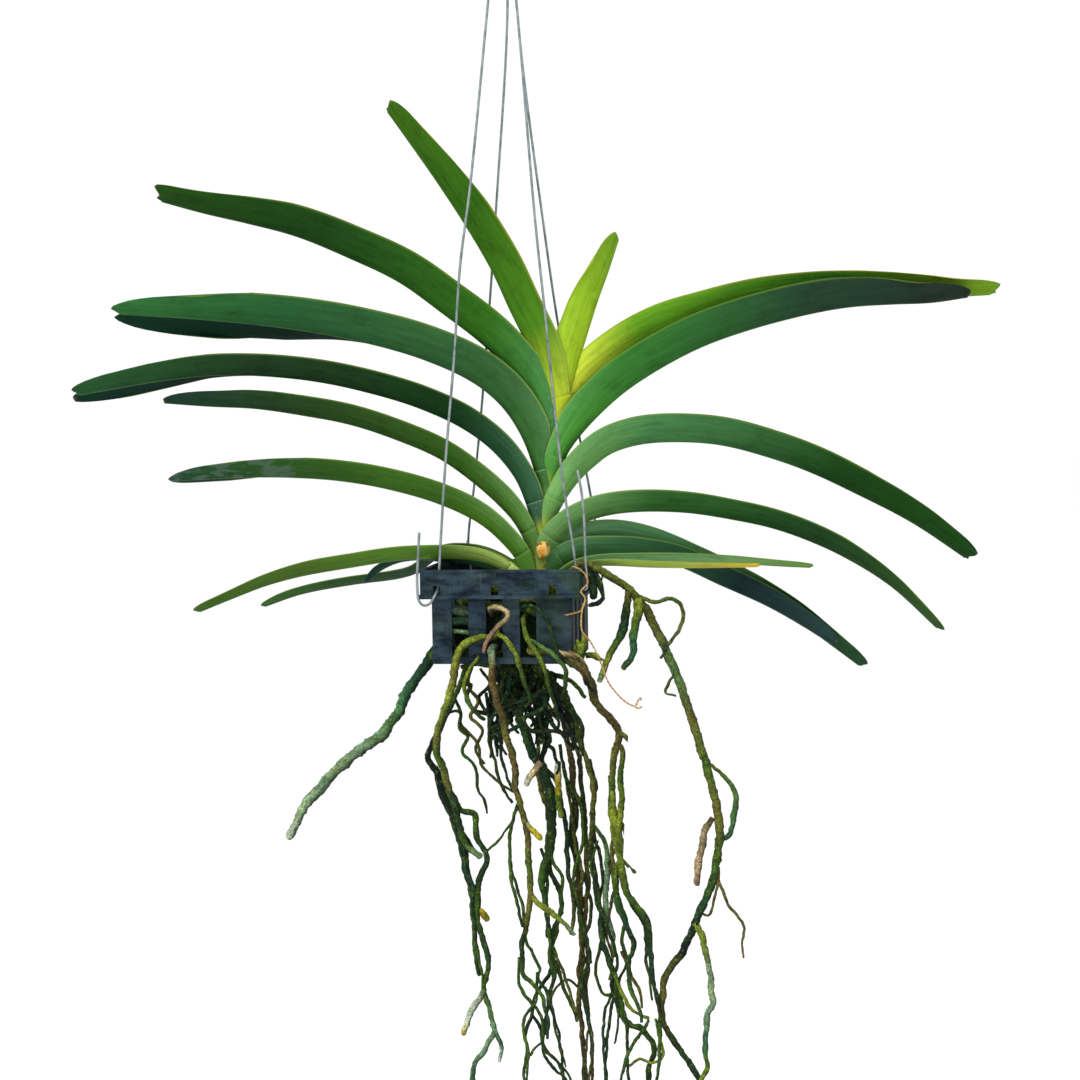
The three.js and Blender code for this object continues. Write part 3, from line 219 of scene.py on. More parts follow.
class Path:
    # a smooth line through points, which can be walked by distance
    def __init__(self, points, stepsPerSpan=14):
        self.knots = [Vector(point) for point in points]
        spans = len(self.knots) - 1
        self.points = [self.curveAt(i / stepsPerSpan) for i in range(spans * stepsPerSpan + 1)]
        self.distances = [0.0]
        for before, after in zip(self.points, self.points[1:]):
            self.distances.append(self.distances[-1] + (after - before).length)
        self.length = self.distances[-1]

    def curveAt(self, place):
        knots = self.knots
        last = len(knots) - 1
        i = min(int(place), last - 1)
        w = place - i
        second, third = knots[i], knots[i + 1]
        first = knots[i - 1] if i > 0 else 2 * second - third
        fourth = knots[i + 2] if i + 2 <= last else 2 * third - second
        before = max((second - first).length, 1e-6) ** 0.5
        here = max((third - second).length, 1e-6) ** 0.5
        after = max((fourth - third).length, 1e-6) ** 0.5
        leave = (second - first) / before - (third - first) / (before + here) + (third - second) / here
        reach = (third - second) / here - (fourth - second) / (here + after) + (fourth - third) / after
        leave, reach = leave * here, reach * here
        cubic = 2 * second - 2 * third + leave + reach
        square = 3 * third - 3 * second - 2 * leave - reach
        return ((cubic * w + square) * w + leave) * w + second

    def at(self, distance):
        distance = min(max(distance, 0), self.length)
        low, high = 0, len(self.distances) - 1
        while high - low > 1:
            middle = (low + high) // 2
            if self.distances[middle] <= distance:
                low = middle
            else:
                high = middle
        span = self.distances[high] - self.distances[low]
        share = (distance - self.distances[low]) / span if span else 0
        return self.points[low].lerp(self.points[high], share)

    def heading(self, distance, reach=1.5):
        ahead = self.at(min(distance + reach, self.length))
        behind = self.at(max(distance - reach, 0))
        return (ahead - behind).normalized()


def addPiece(name, places, faces, material, drawn=None, colours=None, smooth=True):
    mesh = bpy.data.meshes.new(name)
    mesh.from_pydata([toFrame(place) for place in places], [], faces)
    for attribute, values in (drawn or {}).items():
        layer = mesh.attributes.new(attribute, "FLOAT", "POINT")
        layer.data.foreach_set("value", values)
    if colours:
        layer = mesh.attributes.new("tone", "FLOAT_COLOR", "POINT")
        layer.data.foreach_set("color", [part for colour in colours for part in colour])
    mesh.materials.append(material)
    mesh.polygons.foreach_set("use_smooth", [smooth] * len(mesh.polygons))
    mesh.update()
    piece = bpy.data.objects.new(name, mesh)
    scene.collection.objects.link(piece)
    finishPiece(piece, [name])
    return piece


def finishPiece(piece, nodes):
    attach(piece, "root")
    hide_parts(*nodes)


def ringFaces(first, rows, sides):
    # the skin of a stack of rings, closed at both ends
    faces = []
    for i in range(rows):
        for j in range(sides):
            a, b = first + i * sides + j, first + i * sides + (j + 1) % sides
            faces.append((a, b, b + sides, a + sides))
    faces.append(tuple(first + j for j in reversed(range(sides))))
    faces.append(tuple(first + rows * sides + j for j in range(sides)))
    return faces


def addShape(places, faces, newPlaces, newFaces):
    # one more closed shape in the same skin
    first = len(places)
    places += newPlaces
    faces += [tuple(first + corner for corner in face) for face in newFaces]


# Tubes: scales of the bud, wires, roots and the tie. Wander bends the middle line and knobs swell the
# skin. The waves of both are so many for each millimetre.

tubeShape = {
    "stepsPerSpan": 8, "fewestRows": 4, "tipRings": (0.72, 0.46, 0.22, 0.06), "headingReach": 0.8,
    "firstNormal": (0.31, 0.92, 0.23), "light": (-0.42, -0.5, 0.76),
    "bendWave": 0.09, "bendFree": 12, "rippleWave": 3.3, "ripple": 0.4,
    "knobWaves": (0.16, 0.55, 0.6), "knobShares": (0.8, 0.6, 0.8),
}


def bent(centre, normal, side, distance, wander, seed):
    # a root's middle line strays more and more over its first stretch
    spot = Vector((distance * tubeShape["bendWave"], seed, 0))
    free = eased(distance, 0, tubeShape["bendFree"])
    centre = centre + normal * wander * free * noise.noise(spot)
    centre = centre + side * wander * free * noise.noise(spot + Vector((0, 9, 5)))
    return centre + normal * tubeShape["ripple"] * wander * free * noise.noise(spot * tubeShape["rippleWave"])


def swelling(place, distance, knobs, seed):
    # long swellings and short ones along a root, and knobs round it
    longWave, shortWave, roundWave = tubeShape["knobWaves"]
    spots = (Vector((distance * longWave, seed + 3, 0)), Vector((distance * shortWave, seed + 8, 0)),
             place * roundWave)
    return sum((share * knobs * noise.noise(spot) for share, spot in zip(tubeShape["knobShares"], spots)), 1)


def tube(points, radii, sides, step, wander=0.0, knobs=0.0, seed=0.0, tip=False, flat=1.0):
    path = Path(points, tubeShape["stepsPerSpan"])
    rows = max(int(path.length / step), tubeShape["fewestRows"])
    end = along(radii, 1.0) if tip else 0
    stations = [(path.length - end) * i / rows for i in range(rows + 1)]
    if tip:
        stations += [path.length - end * share for share in tubeShape["tipRings"]]
    normal = path.heading(0).cross(Vector(tubeShape["firstNormal"])).normalized()
    light = Vector(tubeShape["light"])
    shape = {"places": [], "faces": ringFaces(0, len(stations) - 1, sides), "reach": [], "lit": []}
    for distance in stations:
        t = distance / path.length
        centre = path.at(distance)
        tangent = path.heading(distance, tubeShape["headingReach"])
        normal = (normal - tangent * normal.dot(tangent)).normalized()
        side = tangent.cross(normal)
        radius = along(radii, t)
        if wander:
            centre = bent(centre, normal, side, distance, wander, seed)
        if tip and distance > path.length - end:
            short = 1 - (path.length - distance) / end
            radius *= math.sqrt(1 - short * short)
        for j in range(sides):
            angle = 2 * math.pi * j / sides
            out = normal * math.cos(angle) + side * math.sin(angle) * flat
            lump = swelling(centre + out * radius, distance, knobs, seed) if knobs else 1
            shape["places"].append(centre + out * radius * lump)
            shape["reach"].append(t)
            # how far each point faces the light, for the roots' painted light and shade
            shape["lit"].append(out.dot(light))
    return shape


def joined(tubes):
    # many tubes as one skin, each with its own colours along it
    places, faces, colours, lit = [], [], [], []
    for shape, stops in tubes:
        addShape(places, faces, shape["places"], shape["faces"])
        lit += shape["lit"]
        stops = [Vector(stop) for stop in stops]
        colours += [tuple(along(stops, t)) for t in shape["reach"]]
    return places, faces, colours, lit


# Leaves. Each keel runs from its place on the stem outwards, as (x, z), and lean is its depth. Half is how
# wide each half of the blade is, and clasp how wide its sheath is closed. The front and back halves have
# their angles from upright at the base, a third, two thirds and the tip, and the colours are for the same
# places. A leaf can also have its own lift (brightness), taper (width of the tip), sheathWidth (in place
# of sheathFront), nearStem (in place of the first of widthProfile), foot (the colour where its sheath
# begins), dusty (where dust begins on it), strength of bloom, margin or seam, and parts of plainTip.

leafShape = {
    "blade": 1.1, "margin": 0.65, "marginPower": 4, "roundness": 0.35, "keel": 1.9, "keelWidth": 0.12,
    "fold": 0.85, "foldWidth": 0.07, "bulge": (0.2, 0.05), "opening": (10, 72), "shadeTurn": (78, 100),
    "sheath": 24, "sheathBack": 0.42, "footClasp": 1.25, "spread": 50, "taperLength": 90,
    "tipLength": 85, "fullTipFrom": 160, "rows": 84, "columns": [2, 5, 9, 15, 23, 31, 39, 46, 52, 56, 59, 60],
}

widthProfile = [0.74, 0.85, 0.95, 1, 1, 1, 0.99, 0.98, 0.95, 0.91, 0.84, 0.74]

# how wide the sheaths are in front at the joint, as a share of the blade there, on the left and on the right
sheathFront = {-1: 0.75, 1: 0.8}

# Where the two lobes have their points and how far their outer sides fall back, as shares of a half's
# width, how much of that is a straight slope, how much shorter the back half is, the notch and the small
# teeth.
plainTip = {
    "front": 0.3, "back": 0.26, "shoulder": 2.4, "slope": 0.15, "behind": 1.5, "notch": 3.5, "teeth": 0.7,
    "toothWave": 9,
}

leaves = [
    {
        "name": "leaf_left_7", "side": -1, "half": 11.5, "clasp": 8, "slot": "leaf",
        "keel": [(12, -20), (6, -12), (-1, -6.5), (-12, 0), (-25, 3.5), (-46, 4.5), (-71, 3.5), (-101, -1),
                 (-132, -6.5), (-154, -12.5), (-176, -21), (-198, -30)],
        "front": (38, 42, 38, 45), "back": (38, 60, 70, 75), "lean": (0, -4, -6, -4),
        "colours": [(206, 234, 116), (74, 114, 34), (56, 82, 24), (52, 82, 24)], "lift": 1.15, "taper": 0.75,
        "tip": {"front": 0.5, "shoulder": 1.2, "notch": 3.5, "teeth": 1.4},
    },
    {
        "name": "leaf_left_8", "side": -1, "half": 10, "clasp": 7.2, "slot": "leaf",
        "keel": [(13, -21), (7, -14), (0, -6), (-14, 1), (-30, 4.8), (-46, 3.2), (-63, -8.5), (-75, -12.6),
                 (-106, -17.2), (-139, -23.8), (-165, -33)],
        "front": (40, 50, 55, 50), "back": (40, 60, 70, 75), "lean": (5, 16, 33, 51, 63, 75),
        "colours": [(92, 150, 62), (30, 58, 38), (30, 60, 28), (46, 84, 28)],
        "tip": {"front": 0.35, "notch": 2},
    },
    {
        "name": "leaf_left_9", "side": -1, "half": 8, "clasp": 6.5, "slot": "leaf",
        "keel": [(13, -21), (8, -13), (0, -9), (-14, -4), (-28, -0.5), (-46, 1), (-60, 2), (-74, 0),
                 (-86, -6), (-94, -14)],
        "front": (40, 60, 55, 45), "back": (40, 50, 55, 60), "lean": (1, 14, 18, 18),
        "colours": [(96, 150, 66), (52, 118, 62), (24, 62, 52), (24, 56, 46)],
    },
    {
        "name": "leaf_right_9", "side": 1, "half": 4.8, "clasp": 8, "slot": "old_leaf",
        "keel": [(14, -21), (20, -13), (29, -7.5), (40, -1), (50, 1.4), (62, 1.8), (80, 1), (103, 0.6),
                 (128, 0.8), (150, 1.2)],
        "front": (40, 38, 42, 60), "back": (40, 80, 85, 85), "lean": (-1, -24, -30, -30),
        "colours": [(88, 124, 46), (124, 150, 56), (138, 160, 66), (190, 164, 48)], "lift": 0.9,
        "sheathWidth": 0.5, "tip": {"front": 0.5, "shoulder": 1.4, "notch": 2},
    },
    {
        "name": "leaf_right_8", "side": 1, "half": 8.8, "clasp": 7, "slot": "leaf",
        "keel": [(15, -20), (20, -12), (29, -6), (40, -0.5), (52, 1.8), (75, 3), (105, 3.2), (135, 2.2),
                 (160, 0.6), (184, -0.6)],
        "front": (40, 52, 55, 60), "back": (40, 84, 88, 88), "lean": (0, -10, -13, -13),
        "colours": [(84, 130, 62), (100, 150, 90), (98, 142, 84), (90, 126, 58)], "lift": 0.95,
        "sheathWidth": 0.5, "tip": {"front": 0.45, "notch": 2},
    },
    {
        "name": "leaf_right_7", "side": 1, "half": 13.8, "clasp": 8, "slot": "leaf",
        "keel": [(15, -19), (20, -12), (28, -3), (41, 2.8), (60, 4.2), (80, 3.5), (101, -0.5), (128, -12.5),
                 (158, -26), (181, -39), (200, -51)],
        "front": (35, 22, 18, 25), "back": (35, 60, 62, 70), "lean": (1, 4, 5, 5),
        "colours": [(84, 136, 74), (50, 98, 58), (18, 36, 38), (34, 58, 56)], "lift": 0.95, "margin": 0.4,
        "sheathWidth": 1, "nearStem": [1.1, 1.24, 1.24, 1.14, 1.04],
        "tip": {"front": 0.45, "shoulder": 1.8, "notch": 2.5},
    },
    {
        "name": "leaf_left_6", "side": -1, "half": 14.5, "clasp": 8, "slot": "leaf",
        "keel": [(13, -16), (8, -8), (2, 3), (-7, 14), (-21, 26), (-46, 38), (-79, 47.5), (-109, 52.5),
                 (-140, 54.5), (-169, 54.5), (-191, 53.5), (-214, 52)],
        "front": (30, 25, 26, 36), "back": (30, 60, 80, 105), "lean": (0, -3, 0, 0),
        "colours": [(86, 136, 38), (56, 94, 26), (38, 72, 22), (26, 62, 36)], "lift": 1.05, "dusty": 0.62,
        "sheathWidth": 1.1, "tip": {"front": 0.14, "back": 0.2, "notch": 2, "teeth": 1.6},
    },
    {
        "name": "leaf_right_6", "side": 1, "half": 13.5, "clasp": 7.4, "slot": "leaf",
        "keel": [(16, -12), (21, -4), (30, 6), (42, 12.5), (60, 15), (83, 11), (113, -1), (143, -15.5),
                 (173, -32.5), (196, -49), (219, -66)],
        "front": (32, 25, 25, 38), "back": (32, 62, 70, 70), "lean": (1, 12, 14, 11),
        "colours": [(118, 172, 114), (90, 146, 94), (26, 64, 28), (30, 62, 36)], "sheathWidth": 1,
        "nearStem": [0.95, 1.08, 1.12, 1.08, 1.03],
        "tip": {"front": 0.55, "shoulder": 1.8, "notch": 3.5},
    },
    {
        "name": "leaf_left_5", "side": -1, "half": 14.4, "clasp": 7, "slot": "leaf",
        "keel": [(15, -3), (11, 6), (7, 15), (0, 27), (-10, 38), (-26, 52), (-46, 66), (-71, 77), (-101, 87),
                 (-132, 93), (-160, 97), (-190, 98.5), (-217, 100.5)],
        "front": (28, 28, 28, 20), "back": (28, 62, 75, 90), "lean": (0, 1, 2, 0),
        "colours": [(90, 136, 50), (48, 86, 22), (33, 60, 24), (24, 52, 38)], "lift": 0.95,
        "foot": (170, 176, 62), "sheathWidth": 0.92, "nearStem": [0.86, 0.95, 1, 1, 1],
        "tip": {"front": 0.24, "back": 0.2, "shoulder": 3, "notch": 1},
    },
    {
        "name": "leaf_right_5", "side": 1, "half": 14, "clasp": 6.8, "slot": "leaf",
        "keel": [(18, -8), (21, 3), (27, 13), (35, 21.5), (44, 27), (56, 31), (75, 33.5), (106, 33),
                 (136, 28.5), (159, 23.5), (181, 16), (205, 5), (234, -13), (266, -42)],
        "front": (28, 22, 34, 58), "back": (28, 58, 60, 48), "lean": (0, -6, -5, 2),
        "colours": [(108, 156, 84), (42, 88, 36), (24, 56, 24), (40, 74, 28)], "foot": (176, 192, 84),
        "sheathWidth": 1.05, "nearStem": [1, 1.1, 1.1, 1.06, 1.02],
        "taper": 0.8, "tip": {"front": 0.5, "shoulder": 1.6, "notch": 4, "teeth": 1.4},
    },
    {
        "name": "leaf_left_4", "side": -1, "half": 15.6, "clasp": 6.4, "slot": "leaf",
        "keel": [(15, 14), (12, 24), (8, 38), (1, 54), (-13, 71), (-32, 85), (-58, 97), (-83, 105),
                 (-118, 113), (-153, 117), (-185, 117.5), (-215, 114.5), (-245, 109.5), (-272, 104.5)],
        "front": (26, 22, 28, 30), "back": (26, 60, 88, 128), "lean": (0, 0, 0, -4),
        "colours": [(46, 88, 58), (12, 46, 14), (24, 50, 24), (32, 74, 38)], "seam": 0.3,
        "foot": (180, 200, 66), "bloom": 0.14, "sheathWidth": 1.08,
        "tip": {"front": 0.42, "back": 0.3, "behind": -3, "notch": 5},
    },
    {
        "name": "leaf_right_4", "side": 1, "half": 18.5, "clasp": 5.8, "slot": "leaf",
        "keel": [(21, 16), (24.6, 28), (30.5, 39.6), (38.6, 51.2), (48, 60.6), (60, 69.5), (78, 75),
                 (101, 76.5), (128, 74.5), (159, 66.5), (184, 57.5), (211, 45), (248, 26), (285, 1.5)],
        "front": (22, 16, 22, 40), "back": (22, 55, 66, 72), "lean": (0, -4, 0, 8),
        "colours": [(114, 168, 84), (64, 116, 66), (22, 61, 17), (22, 60, 16)], "lift": 0.95,
        "foot": (186, 210, 70), "sheathWidth": 0.92,
        "tip": {"front": 0.6, "shoulder": 1.2, "notch": 4.5, "teeth": 1.6},
    },
    {
        "name": "leaf_left_3", "side": -1, "half": 22.5, "clasp": 5.2, "slot": "leaf",
        "keel": [(19, 34), (16, 46), (12, 62), (5, 80), (-7, 98), (-25, 113), (-58, 128), (-100, 139.5),
                 (-130, 145), (-161, 149), (-201, 152.5), (-247.5, 155.4)],
        "front": (20, 14, 24, 38), "back": (20, 58, 112, 136), "lean": (0, 2, 0, -5),
        "colours": [(62, 116, 46), (49, 93, 49), (38, 90, 48), (48, 110, 52)], "lift": 0.8, "seam": 0.4,
        "foot": (150, 190, 96), "sheathWidth": 0.62,
        "tip": {"front": 0.27, "back": 0.24, "notch": 6},
    },
    {
        "name": "leaf_right_3", "side": 1, "half": 21.5, "clasp": 4.6, "slot": "leaf",
        "keel": [(25, 42), (28, 55), (32, 68), (41, 81), (53, 94), (69, 108), (93, 123.5), (118, 136),
                 (150, 147), (186, 156), (208, 159.5), (232, 161), (256, 162), (280, 165.5)],
        "front": (18, 12, 16, 40), "back": (18, 55, 62, 66), "lean": (0, -3, -6, -8),
        "colours": [(66, 128, 42), (40, 94, 34), (26, 52, 34), (24, 36, 30)], "lift": 1.25,
        "margin": 0.4, "tip": {"front": 0.3, "shoulder": 1.6, "notch": 2, "teeth": 0.4},
    },
    {
        "name": "leaf_left_2", "side": -1, "half": 22, "clasp": 4, "slot": "leaf",
        "keel": [(24, 62), (21, 75), (15, 92), (7, 108), (-6, 124), (-22, 139), (-43, 155), (-71, 175),
                 (-100, 189), (-134, 203), (-164, 211), (-192, 217.5), (-223, 226)],
        "front": (16, 12, 24, 40), "back": (16, 52, 62, 56), "lean": (0, 1, 4, 6),
        "colours": [(66, 132, 60), (46, 100, 22), (24, 62, 18), (30, 70, 14)], "lift": 0.85,
        "sheathWidth": 0.6, "taper": 0.85, "tip": {"front": 0.8, "shoulder": 0.7, "notch": 6, "teeth": 2},
    },
    {
        "name": "leaf_right_2", "side": 1, "half": 19.4, "clasp": 3.2, "slot": "young_leaf",
        "keel": [(27, 66), (29, 79), (33, 93), (40.4, 105.6), (53, 119), (69, 131), (92, 143.4), (119, 152),
                 (150, 160), (183, 164.5), (215, 166.4), (248, 166.8), (276, 166.4), (300, 167.6)],
        "front": (14, 18, 30, 48), "back": (14, 50, 62, 62), "lean": (0, 6, 6, 4),
        "colours": [(248, 255, 74), (94, 150, 30), (40, 94, 20), (96, 132, 22)], "bloom": 0.08,
        "foot": (216, 176, 40), "tip": {"front": 0.6, "shoulder": 1.3, "notch": 6},
    },
    {
        "name": "leaf_left_1", "side": -1, "half": 20.8, "clasp": 2.6, "slot": "young_leaf",
        "keel": [(27, 78), (24, 92), (18.5, 110), (9.4, 134), (-1.8, 157), (-13.4, 182), (-28, 207),
                 (-45, 233), (-60, 254.5), (-79, 281)],
        "front": (12, 14, 20, 38), "back": (12, 46, 60, 70), "lean": (0, -2, -6, -8),
        "colours": [(176, 194, 42), (66, 116, 20), (44, 90, 14), (54, 96, 15)], "lift": 0.95,
        "foot": (246, 214, 44), "seam": 0, "bloom": 0.08, "sheathWidth": 0.9, "taper": 0.9,
        "tip": {"front": 0.5, "shoulder": 1.1, "notch": 4},
    },
    {
        "name": "leaf_right_1", "side": 1, "half": 19.6, "clasp": 2, "slot": "young_leaf",
        "keel": [(29, 84), (31, 95), (34.5, 109), (39.5, 126), (45, 144), (51, 163), (57.5, 181), (65, 204)],
        "front": (10, 14, 22, 42), "back": (10, 44, 52, 58), "lean": (0, -1, 2, 6),
        "colours": [(216, 210, 44), (156, 190, 40), (134, 174, 36), (108, 150, 32)], "lift": 0.95,
        "foot": (224, 196, 40), "seam": 0, "bloom": 0.08, "sheathWidth": 0.5,
        "tip": {"front": 0.34, "shoulder": 1.2, "notch": 3.5, "teeth": 1.2},
    },
    {
        "name": "leaf_heart", "side": -1, "half": 5.5, "clasp": 1.2, "slot": "young_leaf",
        "keel": [(30, 92), (29.3, 102), (27.6, 114), (25.6, 126), (23, 138), (20.5, 150)],
        "front": (10, 14, 18, 30), "back": (10, 20, 30, 35), "lean": (0, 0, 0, 0),
        "colours": [(176, 200, 48), (104, 162, 48), (80, 142, 48), (70, 130, 44)],
        "tip": {"front": 0.1, "back": 0.1, "notch": 1},
    },
]


def keelPath(leaf):
    last = len(leaf["keel"]) - 1
    return Path([(x, along(leaf["lean"], i / last), z) for i, (x, z) in enumerate(leaf["keel"])])


def leafHalf(sign, angle, width, bulge, up, near):
    # offsets and inward directions from just off the keel to the margin, with the way each part is turned
    columns = leafShape["columns"]
    last = columns[-1]
    offset = Vector((0, 0, 0))
    steps = []
    for i in range(last):
        share = (i + 0.5) / last
        flat = math.pi / 2 - angle - 4 * bulge
        fold = leafShape["fold"] * flat * math.exp(-share / leafShape["foldWidth"])
        turned = angle + 4 * bulge * (1 - 2 * share) + fold
        offset = offset + (math.cos(turned) * up + sign * math.sin(turned) * near) * width / last
        if i + 1 in columns:
            inward = math.sin(turned) * up - sign * math.cos(turned) * near
            steps.append((sign * (i + 1) / last, offset, inward, math.degrees(turned)))
    return steps


def leafWidth(leaf, distance, length, atJoint):
    # narrow at the foot of the sheath, wider at its joint and full from the spread outwards
    nearStem = leaf.get("nearStem", [])
    full = leaf["half"] * along(nearStem + widthProfile[len(nearStem):], distance / length)
    full *= 1 - (1 - leaf.get("taper", 1.0)) * eased(distance, length - leafShape["taperLength"], length)
    foot = min(leafShape["footClasp"] * leaf["clasp"], full)
    joint = max(atJoint * full, foot)
    width = foot + (joint - foot) * eased(distance, 0, leafShape["sheath"])
    return width + (full - width) * eased(distance, leafShape["sheath"], leafShape["spread"])


def leafSection(leaf, path, distance, thicker=0.0):
    t = distance / path.length
    tangent = path.heading(distance)
    up = tangent.cross(towardViewer) if leaf["side"] < 0 else towardViewer.cross(tangent)
    up.normalize()
    near = up.cross(tangent) * (1 if leaf["side"] < 0 else -1)
    opened = eased(distance, *leafShape["opening"])
    bulge = along(leafShape["bulge"], opened)
    halves = []
    atFront = leaf.get("sheathWidth", sheathFront[leaf["side"]])
    for sign, wanted, atJoint in ((1, leaf["front"], atFront), (-1, leaf["back"], leafShape["sheathBack"])):
        width = leafWidth(leaf, distance, path.length, atJoint)
        clasp = math.asin(min(leaf["clasp"] / width, 0.9))
        angle = clasp + (math.radians(along(wanted, t)) - clasp) * opened
        halves.append(leafHalf(sign, angle, width, bulge, up, near))
    frontHalf, backHalf = halves
    section = frontHalf[::-1] + [(0.0, Vector((0, 0, 0)), up, 0.0)] + backHalf
    columns = []
    for share, offset, inward, turned in section:
        rib = math.exp(-abs(share) / leafShape["keelWidth"])
        thickness = leafShape["blade"] + (leafShape["keel"] - leafShape["blade"]) * rib
        thickness -= (leafShape["blade"] - leafShape["margin"]) * abs(share) ** leafShape["marginPower"]
        # the back half's underside is painted in shade, a little all along and fully where it is turned past
        # level
        underShade = opened * (0.3 + 0.7 * eased(turned, *leafShape["shadeTurn"])) if share < 0 else 0.0
        columns.append((share, offset, inward, thickness + thicker, underShade))
    return columns


def tipCut(share, tip, half, ragged):
    # how far the end falls back: shoulders outside two pointed lobes, a notch at the keel and small teeth
    lobe = tip["front"] if share > 0 else tip["back"]
    outside = max((abs(share) - lobe) / (1 - lobe), 0)
    fall = tip["slope"] * outside + (1 - tip["slope"]) * (1 - math.sqrt(1 - outside * outside))
    notch = tip["notch"] * max(1 - abs(share) / lobe, 0)
    teeth = tip["teeth"] * abs(noise.noise(Vector((share * tip["toothWave"], ragged, 0))))
    behind = tip["behind"] if share < 0 else 0
    return tip["shoulder"] * half * fall + notch + teeth + behind


def leafRows(leaf, path, start, end, rows, ragged=None, thicker=0.0):
    # the grid of a leaf's inner and outer faces, with what its material reads
    tip = {**plainTip, **leaf.get("tip", {})}
    tipLength = leafShape["tipLength"] * min(path.length / leafShape["fullTipFrom"], 1)
    grid = []
    for i in range(rows + 1):
        base = start + (end - start) * i / rows
        row = []
        for share, offset, inward, thickness, underShade in leafSection(leaf, path, base, thicker):
            reach = base
            lift = Vector((0, 0, 0))
            if ragged is not None:
                near = max(1 - (end - base) / tipLength, 0)
                reach = base - near * tipCut(min(max(share, -1), 1), tip, leaf["half"], ragged)
                lift = path.at(reach) - path.at(base)
            place = path.at(base) + lift + offset
            row.append((place, inward, thickness, share, reach, underShade))
        grid.append(row)
    return grid


def sheetSkin(grid, side):
    # a closed skin with rounded margins: places, faces and the values drawn on them
    rows = len(grid)
    wide = len(grid[0])
    places, faces = [], []
    drawn = {"across": [], "reach": [], "inner": [], "underShade": []}

    def draw(share, reach, inner, underShade):
        for name, value in zip(drawn, (share, reach, inner, underShade)):
            drawn[name].append(value)

    for face in (1, -1):
        for row in grid:
            for place, inward, thickness, share, reach, underShade in row:
                places.append(place + inward * thickness / 2 * face)
                draw(share, reach, 1.0 if face > 0 else 0.0, underShade if face < 0 else 0.0)
    below = rows * wide

    def quad(a, b, c, d):
        faces.append((a, b, c, d) if side > 0 else (d, c, b, a))

    for i in range(rows - 1):
        for j in range(wide - 1):
            a = i * wide + j
            quad(a, a + wide, a + wide + 1, a + 1)
            quad(below + a + 1, below + a + wide + 1, below + a + wide, below + a)
    rim = [i * wide for i in range(rows)]
    rim += [(rows - 1) * wide + j for j in range(1, wide)]
    rim += [i * wide + wide - 1 for i in range(rows - 2, -1, -1)]
    rim += [j for j in range(wide - 2, 0, -1)]
    middle = len(places)
    for a in rim:
        row, column = divmod(a, wide)
        place, inward, thickness, share, reach, underShade = grid[row][column]
        inRow = row + (1 if row == 0 else -1 if row == rows - 1 else 0)
        inColumn = column + (1 if column == 0 else -1 if column == wide - 1 else 0)
        out = place - grid[inRow][inColumn][0]
        out = out - inward * out.dot(inward)
        places.append(place + out.normalized() * thickness * leafShape["roundness"])
        draw(share, reach, 0.5, underShade)
    count = len(rim)
    for n, a in enumerate(rim):
        b = rim[(n + 1) % count]
        m, k = middle + n, middle + (n + 1) % count
        quad(a, m, k, b)
        quad(m, below + a, below + b, k)
    return places, faces, drawn


# The colours laid over a blade, and how strongly. Shaded is painted shade on the back half's underside.
leafSkin = {
    "bloom": ((126, 166, 144), 0.26), "dust": ((92, 112, 104), 0.4), "rib": ((112, 154, 84), 0.3),
    "shaded": ((10, 36, 31), 0.88), "margin": ((112, 136, 44), 0.5), "youngMargin": ((158, 150, 50), 0.5),
    "footMargin": ((164, 190, 104), 0.3), "speck": ((150, 164, 120), 0.5), "burnt": ((112, 84, 42), 0.4),
    "seam": ((172, 192, 150), 0.06),
}

# waves across the blade and along it, then the noise's scale, detail, roughness and distortion
leafPatterns = {
    "streaks": (3.6, 0.014, 2.2, 4.0), "veins": (36.0, 0.02, 1.0, 2.0),
    "blotches": (1.4, 0.045, 1.6, 4.0, 0.62, 0.3), "grain": (12.0, 0.5, 1.4, 3.0, 0.65),
    "specks": (9.0, 0.5, 2.0, 2.0),
}


